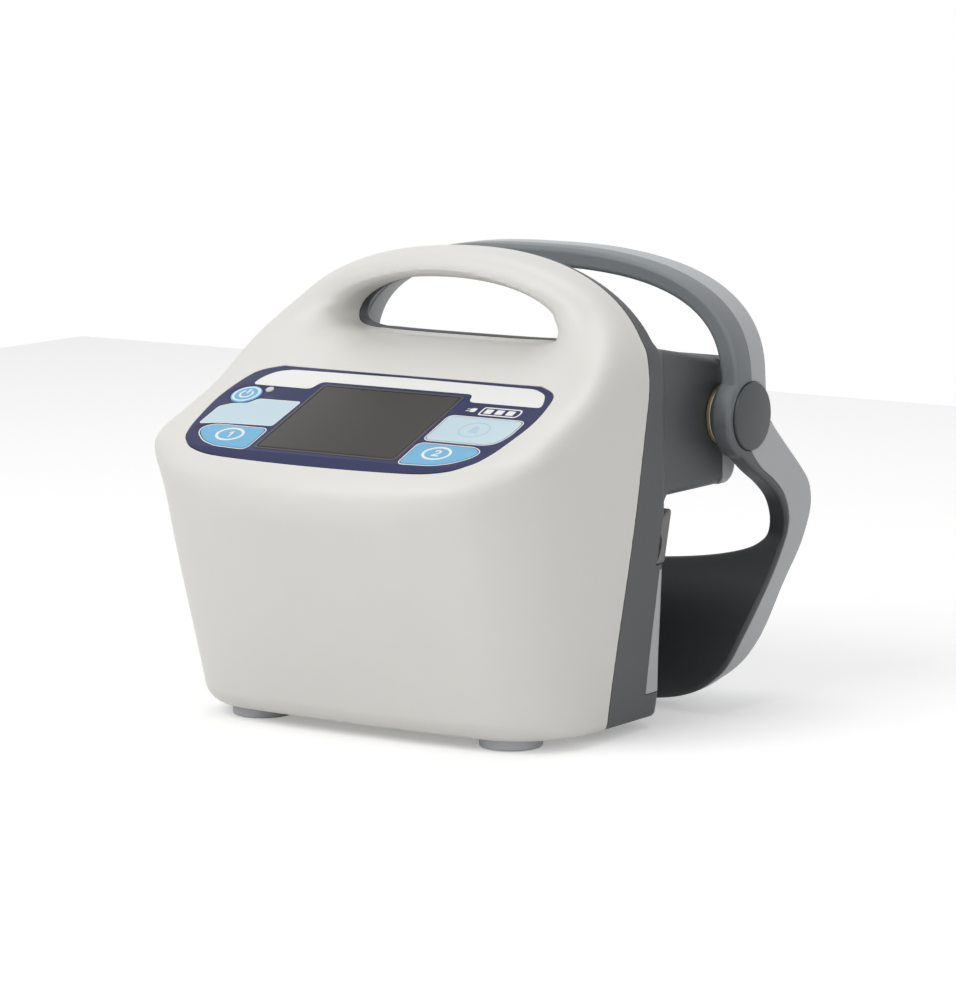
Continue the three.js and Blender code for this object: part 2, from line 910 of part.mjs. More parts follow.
// A closed body from rings, with a flat face on the first and the last
function capped(rings) {
  const across = rings[0].length;
  const middle = (ring) => {
    const sum = ring.reduce((total, point) => total.map((value, i) => value + point[i]));
    return sum.map((value) => value / ring.length);
  };
  const rows = [];
  for (let j = 0; j < across; j++) {
    rows.push([middle(rings[0]), ...rings.map((ring) => ring[j]), middle(rings[rings.length - 1])]);
  }
  return solidOf(wrapped(rows));
}

// Posts under the deck that carry the two boards

const upperPostX = displayWidth / 2 + upperPostMargin;
const lowerPostX = displayWidth / 2 + lowerPostMargin;
const keyPostPlaces = [
  { x: upperPostX, vShare: 0.907 },
  { x: lowerPostX, vShare: 0.042 },
];
const keyPosts = keyPostPlaces.flatMap(({ x, vShare }) => {
  const v = THREE.MathUtils.lerp(keyBoardLowV, keyBoardTopV, vShare);
  return [[-x, v], [x, v]];
});
const mainPostShares = [
  [-0.95, 0.11],
  [0.95, 0.11],
  [-0.95, 0.815],
  [0.95, 0.815],
];
const mainPosts = mainPostShares.map(([x, v]) => [
  x * mainBoardHalfWidth,
  THREE.MathUtils.lerp(mainBoardLowV, mainBoardTopV, v),
]);

function post(x, v, low, high) {
  return onDeck(rod(postRadius, low, high, alongZ, x, v, 0, smallSteps));
}

// Front shell: white moulded half with the deck, the chin, the front of the handle and the floor

function frontShell() {
  const outer = halfForm({ gap: frontGap, facing: -1, rings: frontRings, targets: fineTargets });
  const inside = (x, y, z) => Math.max(frontGap(x, y, z) + wall, z - cavityTopZ);
  const cavity = halfForm({
    gap: inside,
    facing: -1,
    offset: overrun,
    highZ: deckEdgeZ,
    targets: plainTargets,
  });
  let shell = cut(outer, cavity, openingTool());
  const underside = -wall + seam;
  keyPosts.forEach(([x, v]) => {
    shell = join(shell, post(x, v, -keyBoardDrop + seam, underside));
  });
  mainPosts.forEach(([x, v]) => {
    shell = join(shell, post(x, v, -mainBoardDrop + seam, underside));
  });
  shell = join(shell, ...screwBlocks());
  shell = cut(shell, ...panelPockets(), ...floorHoles(footFrontY), ...screwBores(false));
  return joinFloorPosts(shell);
}

function panelPockets() {
  const top = overrun;
  const pockets = [
    onDeck(prismZ(grown(panelOutline(), seam), -panelDepth, top)),
    onDeck(prismZ(displayOutline(-seam), -lensThickness - seam, top)),
    onDeck(prismZ(displayOutline(displayLedge), -wall - overrun, top)),
    onDeck(rod(lightRadius + seam, -wall - overrun, top, alongZ, lightX, lightV, 0, smallSteps)),
  ];
  keys.forEach(({ outline, x, v }) => {
    const depth = keyThickness + keyTravel + seam;
    pockets.push(onDeck(prismZ(grown(outline, seam), -depth, top)));
    const clear = keyStemRadius + seam;
    pockets.push(onDeck(rod(clear, -wall - overrun, top, alongZ, x, v, 0, smallSteps)));
  });
  return pockets;
}

function floorHoles(y) {
  return [-footX, footX].map((x) =>
    solidOf(rod(footPegRadius + seam, 0, floorZ + wall + overrun, alongZ, x, y, 0)),
  );
}

// Blocks on the side walls that take the lower case screws
function screwBlocks() {
  const outerX = footHalfWidth - wall / 2;
  const y1 = partingY(lowerScrewZ) - wall / 2;
  const half = screwHeadRadius + wall / 2;
  return [-1, 1].map((side) => {
    const [x0, x1] = [side * (lowerScrewX - half), side * outerX].sort((a, b) => a - b);
    return solidOf(block(x0, x1, y1 - screwLength, y1, lowerScrewZ - half, lowerScrewZ + half));
  });
}

const caseScrews = [
  { x: -upperScrewX, z: upperScrewZ, headY: rearY - wall },
  { x: upperScrewX, z: upperScrewZ, headY: rearY - wall },
  { x: -lowerScrewX, z: lowerScrewZ, headY: rearY - doorWall - wall },
  { x: lowerScrewX, z: lowerScrewZ, headY: rearY - doorWall - wall },
];

function screwReach({ z, headY }) {
  return headY - partingY(z) + screwLength / 2;
}

function screwBores(withHeads) {
  return caseScrews.map((screw) => {
    const { x, z, headY } = screw;
    const shaft = rod(screwRadius + seam, -screwReach(screw) - seam, 0, alongY, x, headY, z, smallSteps);
    if (!withHeads) return solidOf(shaft);
    const head = rod(screwHeadRadius + seam, -seam, 2 * overrun, alongY, x, headY, z, smallSteps);
    return join(solidOf(shaft), solidOf(head));
  });
}

const rearPostY = THREE.MathUtils.lerp(powerBoardY0, powerBoardY1, 0.76);
const floorPosts = [
  [powerBoardX0 - postStand, powerBoardY0 - postStand],
  [powerBoardX0 - postStand, rearPostY],
  [powerBoardX1 + postStand / 2, powerBoardY0 - postStand],
  [powerBoardX1 + postStand / 2, rearPostY],
];

function joinFloorPosts(shell) {
  const high = powerBoardZ - seam;
  return floorPosts.reduce(
    (sum, [x, y]) => join(sum, solidOf(rod(postRadius, floorZ + wall / 2, high, alongZ, x, y, 0, smallSteps))),
    shell,
  );
}

// Rear case: dark grey moulded half with the rear of the handle and the support block

function blockOutline(inset, y0, y1) {
  const slope = (blockTopZ - blockRearTopZ) / (blockRearY - rearY);
  const topAt = (y) => blockTopZ - slope * (y - rearY) - inset;
  const corners = [
    [y0, blockLowZ + inset],
    [y1, blockLowZ + inset],
    [y1, topAt(y1)],
    [y0, topAt(y0)],
  ];
  return corners.map((corner) => new THREE.Vector2(...corner));
}

// Prism of the block's side outline with its long edges rounded off
function blockForm(halfSpan, inset, y0, y1) {
  const across = solidOf(prismX(blockOutline(inset, y0, y1), -halfSpan, halfSpan));
  const round = rectangle(-halfSpan, blockLowZ + inset, halfSpan, blockTopZ - inset, blockRadius);
  return across.intersect(solidOf(prismY(round, y0 - overrun, y1 + overrun)));
}

// Wedge under the block where it meets the rear wall, with room for the mains inlet's flange
function blockRoot() {
  const frontY = rearY - wall / 2;
  const slope = rootDrop / (rootY - rearY);
  const corners = [
    [frontY, blockLowZ - slope * (rootY - frontY)],
    [rootY, blockLowZ],
    [rootY, blockLowZ + blockWall],
    [frontY, blockLowZ + blockWall],
  ];
  const outline = corners.map((corner) => new THREE.Vector2(...corner));
  const wedge = solidOf(prismX(outline, -blockHalfWidth, blockHalfWidth));
  const [half, high] = [inletHalfWidth + 2 * seam, inletHalfHeight + 2 * seam];
  const room = block(inletX - half, inletX + half, rearY, rootY, inletZ - high, inletZ + high);
  return cut(wedge, solidOf(room));
}

function doorZone(grow) {
  const outline = [
    new THREE.Vector2(doorTopY - grow, doorTopZ + grow),
    new THREE.Vector2(doorLowY - grow, doorLowZ - grow),
    new THREE.Vector2(rearY + overrun, doorLowZ - grow),
    new THREE.Vector2(rearY + overrun, doorTopZ + grow),
  ];
  return solidOf(prismX(outline, -halfWidth - overrun, halfWidth + overrun));
}

// The rear form, drawn in by the door's wall
function doorCore(shrink) {
  const gap = (x, y, z) => rearGap(x, y, z) + doorWall + shrink;
  return halfForm({ gap, facing: 1, offset: -overrun, targets: plainTargets });
}

function rearForm() {
  return halfForm({ gap: rearGap, facing: 1, offset: seam, targets: rearTargets });
}

function rearCase(form) {
  const inset = (z) => (z < doorTopZ + wall ? rearInset : wall);
  const cavity = halfForm({
    gap: (x, y, z) => Math.max(rearGap(x, y, z) + inset(z), z - cavityTopZ),
    facing: 1,
    offset: -overrun,
    highZ: deckEdgeZ,
    targets: plainTargets,
  });
  const recess = cut(doorZone(seam), doorCore(seam));
  let body = join(form, blockForm(blockHalfWidth, 0, rearY - wall, blockRearY), blockRoot());
  body = cut(body, cavity, openingTool(), recess);
  body = cut(body, blockForm(blockHalfWidth - blockWall, blockWall, rearY + wall, blockRearY + overrun));
  body = join(body, batteryBay());
  body = cut(body, batteryWindow(), portWindow(1), portWindow(-1), inletWindow());
  body = cut(body, ...floorHoles(footRearY), ...screwBores(true), ...bushHoles());
  body = cut(body, ...doorScrewHoles());
  return body;
}

const bayTopZ = packTopZ + seam + bayWall;

function batteryBay() {
  const x = packHalfWidth + seam + bayWall;
  const front = packFrontY - seam - bayWall;
  return solidOf(block(-x, x, front, rearY - rearInset, packLowZ - seam - bayWall, bayTopZ));
}

function batteryWindow() {
  const x = packHalfWidth + seam;
  return solidOf(block(-x, x, packFrontY - seam, rearY + overrun, packLowZ - seam, packTopZ + seam));
}

function portSides(side) {
  return [side * portInnerX, side * portOuterX].sort((a, b) => a - b);
}

function portWindow(side) {
  const [x0, x1] = portSides(side);
  const [low, high] = [portLowZ - seam, portTopZ + seam];
  const opening = block(x0 - seam, x1 + seam, partingFloorY, rearY + overrun, low, high);
  const corners = [
    [portSideLowY - seam, low],
    [rearY + overrun, low],
    [rearY + overrun, high],
    [portSideTopY - seam, high],
  ];
  return join(solidOf(opening), portWrap(side, corners, wall, halfWidth + overrun));
}

// Prism of a side outline on a port's outer side, from inside the port out to a given x
function portWrap(side, corners, overlap, outerX) {
  const [x0, x1] = [side * (portOuterX - overlap), side * outerX].sort((a, b) => a - b);
  return solidOf(prismX(corners.map((corner) => new THREE.Vector2(...corner)), x0, x1));
}

function inletWindow() {
  const half = inletHollowHalfWidth + inletFlange + seam;
  const high = inletHollowHalfHeight + inletFlange + seam;
  const outline = rectangle(inletX - half, inletZ - high, inletX + half, inletZ + high, wall);
  return solidOf(prismY(outline, partingFloorY, rearY + overrun));
}

function bushHoles() {
  return [-1, 1].map((side) => {
    const [from, to] = [side * (blockHalfWidth - 2 * blockWall), side * (blockHalfWidth + overrun)];
    const low = Math.min(from, to);
    return solidOf(rod(bushRadius + seam, low, Math.max(from, to), alongX, 0, pivotY, pivotZ));
  });
}

function doorScrewHoles() {
  return [-1, 1].map((side) =>
    solidOf(
      rod(screwRadius + seam, -2 * wall, overrun, alongY, side * doorScrewX, rearY - doorWall, doorScrewZ, smallSteps),
    ),
  );
}

// Cover that closes the support block and clamps the bushes from the rear
function blockCover() {
  const y0 = blockRearY + seam;
  const outer = coverForm(0, y0, coverRearY);
  const hollow = coverForm(blockWall, y0 - overrun, coverRearY - blockWall);
  return cut(outer, hollow, ...bushHoles());
}

function coverForm(inset, y0, y1) {
  const topAt = blockRearTopZ - inset;
  const side = roundedOutline(
    [
      [y1, blockLowZ + inset],
      [y1, topAt],
      [y0, topAt + overrun / 4],
      [y0 - overrun, topAt + overrun / 4],
      [y0 - overrun, blockLowZ + inset],
    ],
    coverRadius,
    4,
  );
  const half = blockHalfWidth - inset;
  const front = rectangle(-half, blockLowZ + inset, half, blockTopZ - inset, blockRadius);
  const form = solidOf(prismX(side, -half, half)).intersect(
    solidOf(prismY(front, y0, y1 + overrun)),
  );
  return form;
}

function batteryDoor(form) {
  const skin = form.intersect(doorZone(0));
  const heads = [-1, 1].map((side) => {
    const x = side * doorScrewX;
    return solidOf(
      rod(screwHeadRadius + seam, rearY - screwHead - seam, rearY + overrun, alongY, x, 0, doorScrewZ, smallSteps),
    );
  });
  return cut(skin, doorCore(0), ...heads, ...doorScrewHoles());
}

// Pan-head screw along Y, its head's underside at y = 0 and its tip towards the front
function screwForm(length) {
  const profile = [
    [0, -length],
    [screwRadius, -length],
    [screwRadius, 0],
    [screwHeadRadius, 0],
    [screwHeadRadius, screwHead],
    [0, screwHead],
  ];
  const body = solidOf(turned(profile, alongY, 0, 0, 0, smallSteps));
  const half = screwHeadRadius / 5;
  const slot = block(-half, half, screwHead / 2, screwHead + overrun, -3 * half, 3 * half);
  return geometryOf(cut(body, solidOf(slot)));
}

function foot() {
  const bottom = floorZ - seam;
  const profile = [
    [0, 0],
    [footTreadRadius, 0],
    [footWidthRadius, bottom / 3],
    [footWidthRadius, bottom],
    [footPegRadius, bottom],
    [footPegRadius, floorZ + wall],
    [0, floorZ + wall],
  ];
  return turned(profile, alongZ, 0, 0, 0, roundSteps);
}

// Panel pieces, in the deck frame

function controlOverlay() {
  const holes = [displayOutline(-seam), circle(lightX, lightV, lightRadius + seam, smallSteps)];
  keys.forEach(({ outline }) => holes.push(grown(outline, seam)));
  return prismZ(panelOutline(), seam - panelDepth, seam - panelDepth + panelThickness, holes);
}

function displayLens() {
  return prismZ(displayOutline(0), -lensThickness, 0);
}

function displayModule() {
  const half = displayWidth / 2;
  const low = -keyBoardDrop + seam;
  const high = displayHeight - displayLedge;
  return prismZ(rectangle(-half, displayLedge, half, high, seam), low, -wall - seam);
}

function keyForm({ outline, x, v }) {
  const cap = solidOf(prismZ(outline, -keyThickness, 0));
  const stem = rod(keyStemRadius, -keyThickness - keyStemLength, -keyThickness / 2, alongZ, x, v, 0, smallSteps);
  return geometryOf(join(cap, solidOf(stem)));
}

// Click switch under a key, square, with its round plunger towards the key
function keySwitch() {
  const gapBelow = keyBoardDrop - keyThickness - keyStemLength - keyTravel;
  const bodyHigh = gapBelow * 0.6;
  const half = switchSide / 2;
  const body = solidOf(block(-half, half, -half, half, seam, bodyHigh));
  const plunger = rod(switchSide / 4, seam, gapBelow - seam, alongZ, 0, 0, 0, smallSteps);
  return geometryOf(join(body, solidOf(plunger)));
}

function keyBoard() {
  const radius = 2 * postRadius;
  const outline = rectangle(
    -keyBoardHalfWidth,
    keyBoardLowV,
    keyBoardHalfWidth,
    keyBoardTopV,
    radius,
  );
  return prismZ(outline, -keyBoardDrop - boardThickness, -keyBoardDrop);
}

function mainBoard() {
  const top = -mainBoardDrop;
  const half = mainBoardHalfWidth;
  const outline = rectangle(-half, mainBoardLowV, half, mainBoardTopV, postRadius);
  const board = solidOf(prismZ(outline, top - boardThickness, top));
  const chip = 0.107 * half;
  const parts = [
    block(-chip, chip, mainBoardLowV + chip, mainBoardLowV + 3 * chip, top - seam, top + chip / 4),
    block(-4 * chip, -2 * chip, mainBoardLowV + chip, mainBoardLowV + 2 * chip, top - seam, top + chip / 3),
    block(2 * chip, 5 * chip, mainBoardTopV - 2 * chip, mainBoardTopV - chip, top - seam, top + chip),
    block(-6 * chip, -4 * chip, mainBoardTopV - 3 * chip, mainBoardTopV - chip, top - seam, top + chip / 2),
  ];
  const sensors = [2.6, 3.8, 5].map((share) =>
    rod(chip / 3, top - seam, top + chip, alongZ, share * chip, mainBoardLowV + chip, 0, 8),
  );
  return geometryOf(join(board, ...[...parts, ...sensors].map(solidOf)));
}

// Power board with its transformer, capacitors and heat sink
function powerBoard() {
  const top = powerBoardZ + boardThickness;
  const board = block(powerBoardX0, powerBoardX1, powerBoardY0, powerBoardY1, powerBoardZ, top);
  const width = powerBoardX1 - powerBoardX0;
  const depth = powerBoardY1 - powerBoardY0;
  const at = (xShare, yShare) => [powerBoardX0 + xShare * width, powerBoardY0 + yShare * depth];
  const [coreX, coreY] = at(0.55, 0.5);
  const coreHalf = 0.16 * width;
  const core = block(coreX - coreHalf, coreX + coreHalf, coreY - coreHalf, coreY + coreHalf, top - seam, top + 2 * coreHalf);
  const [canX, canY] = at(0.22, 0.3);
  const can = rod(0.11 * width, top - seam, top + 0.35 * width, alongZ, canX, canY, 0, smallSteps);
  const [finX, finY] = at(0.88, 0.5);
  const fins = [-0.3, -0.1, 0.1, 0.3].map((share) =>
    block(
      finX - 0.05 * width,
      finX + 0.05 * width,
      finY + share * depth - seam,
      finY + share * depth + 3 * seam,
      top - seam,
      top + 0.3 * width,
    ),
  );
  const spine = block(finX - seam, finX + 3 * seam, finY - 0.35 * depth, finY + 0.35 * depth, top - seam, top + 0.3 * width);
  return geometryOf(join(...[board, core, can, spine, ...fins].map(solidOf)));
}

// Compressor: motor can, pump head and the soft cradle under both

const motorZ = floorZ + wall + seam + cradleHigh + motorRadius / 2;
const headX = motorX + motorLength;

function compressorMotor() {
  const length = motorLength;
  const neck = motorRadius * 0.4;
  const profile = [
    [0, 0],
    [neck, 0],
    [neck, 0.08 * length],
    [motorRadius * 0.9, 0.08 * length],
    [motorRadius, 0.15 * length],
    [motorRadius, length - seam],
    [0, length - seam],
  ];
  return turned(profile, alongX, motorX, motorY, motorZ);
}

const headTopZ = motorZ + headHalfZ;
const headSpigotX = headX + headLength / 2;
const headSpigotY = motorY + headHalfY / 2;

function compressorHead() {
  const outline = rectangle(
    motorY - headHalfY,
    motorZ - headHalfZ,
    motorY + headHalfY,
    headTopZ,
    wall,
  );
  const body = solidOf(prismX(outline, headX, headX + headLength));
  const grooves = [0.2, 0.35, 0.65, 0.8].map((share) => {
    const x = headX + share * headLength;
    const [y0, y1] = [motorY - headHalfY - overrun, motorY + headHalfY + overrun];
    return solidOf(block(x - seam, x + 2 * seam, y0, y1, headTopZ - wall, headTopZ + wall));
  });
  const spigot = rod(
    spigotRadius,
    headTopZ - wall,
    headTopZ + spigotLength,
    alongZ,
    headSpigotX,
    headSpigotY,
    0,
    smallSteps,
  );
  return geometryOf(join(cut(body, ...grooves), solidOf(spigot)));
}

function compressorCradle() {
  const [low, high] = [floorZ + wall + seam, motorZ];
  const [x0, x1] = [motorX + headHalfY / 2, headX + headLength - headHalfY / 2];
  const half = headHalfY - wall;
  const base = solidOf(block(x0, x1, motorY - half, motorY + half, low, high - motorRadius / 2));
  const trough = solidOf(rod(motorRadius + seam, x0 - overrun, headX + seam, alongX, 0, motorY, motorZ));
  const shelfLow = motorZ - headHalfZ - seam;
  const shelf = solidOf(
    block(headX - seam, x1 + overrun, motorY - 2 * half, motorY + 2 * half, shelfLow, high),
  );
  return geometryOf(cut(base, trough, shelf));
}

// Valve block on the rear wall, with its row of solenoid valves

const valveCount = 5;
const valvePitch = (manifoldX1 - manifoldX0) / (valveCount + 1);
const manifoldZ = bayTopZ + seam + manifoldHigh / 2;
const manifoldY = (manifoldY0 + manifoldY1) / 2;
const supplyX = manifoldX1 - valvePitch / 2;

function valveManifold() {
  const low = manifoldZ - manifoldHigh / 2;
  const high = manifoldZ + manifoldHigh / 2;
  const body = block(manifoldX0, manifoldX1, manifoldY0, manifoldY1, low, high);
  const lugs = [manifoldX0 + 2 * wall, manifoldX1 - 4 * wall].map((x) =>
    block(x, x + 2 * wall, manifoldY1 - wall, manifoldY1 + 2 * wall, low, low + wall),
  );
  const ends = rod(
    spigotRadius,
    manifoldX0 - spigotLength,
    manifoldX1 + spigotLength,
    alongX,
    0,
    manifoldY,
    manifoldZ,
    smallSteps,
  );
  const [y0, y1] = [manifoldY0 - spigotLength, manifoldY0 + wall];
  const inlet = rod(spigotRadius, y0, y1, alongY, supplyX, 0, manifoldZ, smallSteps);
  return geometryOf(join(...[body, ...lugs, ends, inlet].map(solidOf)));
}

function solenoidValve() {
  const profile = [
    [0, 0],
    [valveRadius, 0],
    [valveRadius, 0.8 * valveLength],
    [0.45 * valveRadius, 0.85 * valveLength],
    [0.45 * valveRadius, valveLength],
    [0, valveLength],
  ];
  return turned(profile, alongY, 0, 0, 0, smallSteps);
}

// Hoses: each is pushed over a spigot at both ends
const supplyShares = [
  [0, 0, 0],
  [0, 0, 0.45],
  [0.2, 0.12, 0.85],
  [0.75, 0.35, 1],
  [1, 0.62, 1],
  [1, 1, 1],
];

function supplyHose() {
  const from = new THREE.Vector3(headSpigotX, headSpigotY, headTopZ + seam);
  const span = new THREE.Vector3(supplyX, manifoldY0 - seam, manifoldZ).sub(from);
  return hoseAlong(
    supplyShares.map(([x, y, z]) => [from.x + x * span.x, from.y + y * span.y, from.z + z * span.z]),
  );
}

// Quarter bend from the manifold's end to the front of a port
function portHose(side) {
  const from = side > 0 ? manifoldX1 + seam : manifoldX0 - seam;
  const to = side * portSpigotX;
  const end = portFrontY - seam;
  const bend = end - manifoldY;
  return hoseAlong([
    [from, manifoldY, manifoldZ],
    [to - side * bend, manifoldY, manifoldZ],
    [to - side * 0.45 * bend, manifoldY + 0.06 * bend, manifoldZ],
    [to - side * 0.12 * bend, manifoldY + 0.28 * bend, manifoldZ],
    [to, manifoldY + 0.6 * bend, manifoldZ],
    [to, end, manifoldZ],
  ]);
}

// Port: wedge-shaped block with an oval socket and three nipples for a hose set's connector
function tubePort(side) {
  const [x0, x1] = portSides(side);
  const middle = (x0 + x1) / 2;
  const z = socketZ;
  const lipZ = portTopZ + portLip;
  const rearFace = [
    [portLowY, portLowZ],
    [portTopY, lipZ - wall / 2],
    [portTopY - wall / 4, lipZ],
    [rearY, portTopZ],
  ];
  const profile = [[portFrontY, portLowZ], ...rearFace, [portFrontY, portTopZ]];
  const corners = [[portSideLowY, portLowZ], ...rearFace, [portSideTopY, portTopZ]];
  const inner = solidOf(prismX(profile.map((corner) => new THREE.Vector2(...corner)), x0, x1));
  const body = join(inner, portWrap(side, corners, wall, portSideX));
  const oval = rectangle(
    middle - socketHalfWidth,
    z - socketHalfHeight,
    middle + socketHalfWidth,
    z + socketHalfHeight,
    socketHalfHeight,
  );
  const socket = solidOf(prismY(oval, socketFloorY, portTopY + overrun));
  const bore = rod(nippleBore, portFrontY - overrun, portTopY, alongY, middle, 0, z, smallSteps);
  const nipples = [-1, 0, 1].map((step) => {
    const x = middle + step * nippleGap;
    return solidOf(rod(nippleRadius, socketFloorY - wall, nippleTipY, alongY, x, 0, z, smallSteps));
  });
  const [y0, y1] = [portFrontY - spigotLength, portFrontY + wall / 2];
  const spigot = rod(spigotRadius, y0, y1, alongY, side * portSpigotX, 0, manifoldZ, smallSteps);
  const whole = join(cut(body, socket), ...nipples, solidOf(spigot));
  return geometryOf(cut(whole, solidOf(bore), lensNotch(side)));
}

// Narrow grip recess on the outer side of a port
function lensNotch(side) {
  const z = portLowZ + wall / 3;
  const lean = (portSideTopY - portSideLowY) / (portTopZ - portLowZ);
  const at = (share, aside) => {
    const up = share * notchLength;
    return [portSideLowY + wall / 2 + lean * up + aside, z + up];
  };
  const points = [at(0, 0), at(0.5, -wall / 3), at(1, 0), at(0.5, wall / 3)];
  const x = side * portSideX;
  return solidOf(prismX(roundedOutline(points, wall, 2), x - wall / 2, x + wall / 2));
}

function mainsInlet() {
  const frame = rectangle(
    inletX - inletHalfWidth,
    inletZ - inletHalfHeight,
    inletX + inletHalfWidth,
    inletZ + inletHalfHeight,
    wall,
  );
  const half = inletHollowHalfWidth + inletFlange;
  const high = inletHollowHalfHeight + inletFlange;
  const sleeve = rectangle(inletX - half, inletZ - high, inletX + half, inletZ + high, wall);
  const hollow = rectangle(
    inletX - inletHollowHalfWidth,
    inletZ - inletHollowHalfHeight,
    inletX + inletHollowHalfWidth,
    inletZ + inletHollowHalfHeight,
    wall,
  );
  const faceY = rearY + seam + inletFlange;
  const floorY = faceY - inletDepth + 2 * inletFlange;
  const pins = [-1, 0, 1].map((step) => {
    const x = inletX + step * inletPinGap;
    const z = inletZ + (step === 0 ? inletPinHeight / 2 : -inletPinHeight / 2);
    return block(
      x - inletPinWidth / 2,
      x + inletPinWidth / 2,
      floorY - inletFlange,
      floorY + inletPinLength,
      z - inletPinHeight / 2,
      z + inletPinHeight / 2,
    );
  });
  const shell = cut(
    join(solidOf(prismY(frame, rearY + seam, faceY)), solidOf(prismY(sleeve, faceY - inletDepth, faceY))),
    solidOf(prismY(hollow, floorY, faceY + overrun)),
  );
  return geometryOf(join(shell, ...pins.map(solidOf)));
}

function batteryPack() {
  const outline = rectangle(-packHalfWidth, packLowZ, packHalfWidth, packTopZ, wall);
  return prismY(outline, packFrontY + bayWall, packRearY);
}

function alarmSpeaker() {
  const profile = [
    [0, -speakerDepth],
    [speakerRadius * 0.5, -speakerDepth],
    [speakerRadius * 0.6, -speakerDepth / 2],
    [speakerRadius, -speakerDepth / 3],
    [speakerRadius, 0],
    [0, 0],
  ];
  return turned(profile, alongY, speakerX, rearY - wall - seam, speakerZ);
}

// Hook: side profile, as stations from the top of the arch to the foot of the paddle. Each station
// gives the front, the seam between pad and frame, and the rear, as distances behind the pivot and
// below it, in shares of the profile's length below the pivot.
const profileLength = 109;
const lowerStationShares = [
  { front: [-0.151, 0], seam: [0.002, 0], rear: [0.124, 0] },
  { front: [-0.105, 0.098], seam: [0.002, 0.06], rear: [0.15, 0.035] },
  { front: [-0.048, 0.139], seam: [0.006, 0.12], rear: [0.186, 0.07] },
  { front: [0.037, 0.198], seam: [0.074, 0.187], rear: [0.27, 0.142] },
  { front: [0.131, 0.252], seam: [0.161, 0.239], rear: [0.35, 0.211] },
  { front: [0.206, 0.311], seam: [0.231, 0.296], rear: [0.407, 0.27] },
  { front: [0.243, 0.377], seam: [0.266, 0.366], rear: [0.427, 0.335] },
  { front: [0.24, 0.432], seam: [0.262, 0.427], rear: [0.41, 0.402] },
  { front: [0.2, 0.484], seam: [0.218, 0.499], rear: [0.348, 0.5] },
  { front: [0.135, 0.563], seam: [0.152, 0.58], rear: [0.231, 0.618] },
  { front: [0.02, 0.683], seam: [0.04, 0.7], rear: [0.117, 0.753] },
  { front: [-0.048, 0.788], seam: [-0.027, 0.797], rear: [0.047, 0.836] },
  { front: [-0.073, 0.917], seam: [-0.051, 0.92], rear: [0.002, 0.92] },
  { front: [-0.076, 1.03], seam: [-0.054, 1.03], rear: [-0.01, 1.03] },
];

const upperStations = 6;

function profileStations() {
  const lower = lowerStationShares.map((station) => {
    const at = ([back, down]) =>
      new THREE.Vector2(pivotY + back * profileLength, pivotZ - down * profileLength);
    return { front: at(station.front), seam: at(station.seam), rear: at(station.rear) };
  });
  const archSeamY = lower[0].seam.x;
  const upper = [];
  for (let i = 0; i < upperStations; i++) {
    const z = THREE.MathUtils.lerp(topZ + overrun, pivotZ, i / upperStations);
    upper.push({
      front: new THREE.Vector2(archFrontY, z),
      seam: new THREE.Vector2(archSeamY, z),
      rear: new THREE.Vector2(archRearY, z),
    });
  }
  return [...upper, ...lower];
}

// Three smooth curves through the stations, read at a run: the length along the seam's line, with
// 0 at the pivot and more below it
function profileReader() {
  const stations = profileStations();
  const runs = [0];
  stations.slice(1).forEach((station, i) => {
    runs.push(runs[i] + station.seam.distanceTo(stations[i].seam));
  });
  const zero = runs[upperStations];
  const line = (key) => {
    const curve = new THREE.SplineCurve(stations.map((station) => station[key]));
    return (run) => {
      const wanted = run + zero;
      let i = 0;
      while (i < runs.length - 2 && runs[i + 1] < wanted) i++;
      const part = (wanted - runs[i]) / (runs[i + 1] - runs[i]);
      const place = (i + THREE.MathUtils.clamp(part, 0, 1)) / (runs.length - 1);
      return curve.getPoint(place);
    };
  };
  return { front: line("front"), seam: line("seam"), rear: line("rear") };
}

// Points round the ring: the outer and inner edge, as [x, run]
function ringEdges() {
  const edges = [];
  const corner = (halfX, mid, reach, power, turn) => {
    const across = Math.cos(turn);
    const along = Math.sin(turn);
    return [
      halfX * Math.sign(across) * Math.abs(across) ** (2 / power),
      mid + reach * Math.sign(along) * Math.abs(along) ** (2 / power),
    ];
  };
  const archMidRun = pivotZ - archMidZ;
  const archTurns = [1, 0.86, 0.74, 0.62, 0.5, 0.38, 0.26, 0.13, 0];
  archTurns.forEach((share) => {
    const turn = (-share * Math.PI) / 2;
    edges.push({
      outer: corner(hookOuterX, archMidRun, archOuterZ - archMidZ, archOuterPower, turn),
      inner: corner(hookInnerX, archMidRun, archInnerZ - archMidZ, archInnerPower, turn),
    });
  });
  const sideShares = [0.1, 0.2, 0.3, 0.4, 0.5, 0.58, 0.66, 0.74, 0.82, 0.9, 1];
  sideShares.forEach((share) => {
    edges.push({
      outer: [hookOuterX, THREE.MathUtils.lerp(archMidRun, lowerMidRun, share)],
      inner: [hookInnerX, THREE.MathUtils.lerp(archMidRun, windowMidRun, share)],
    });
  });
  const lowerTurns = [0.18, 0.34, 0.48, 0.6, 0.7, 0.79, 0.87, 0.94, 1];
  lowerTurns.forEach((share) => {
    const turn = (share * Math.PI) / 2;
    edges.push({
      outer: corner(hookOuterX, lowerMidRun, lowerEndRun - lowerMidRun, lowerPower, turn),
      inner: corner(hookInnerX, windowMidRun, windowEndRun - windowMidRun, windowPower, turn),
    });
  });
  const flip = ({ outer, inner }) => ({ outer: [-outer[0], outer[1]], inner: [-inner[0], inner[1]] });
  return [...edges, ...edges.slice(1, -1).reverse().map(flip)];
}

// The part of the ring that lies between the seam's line and the front or rear line
const acrossShares = [0, 0.5, 1];

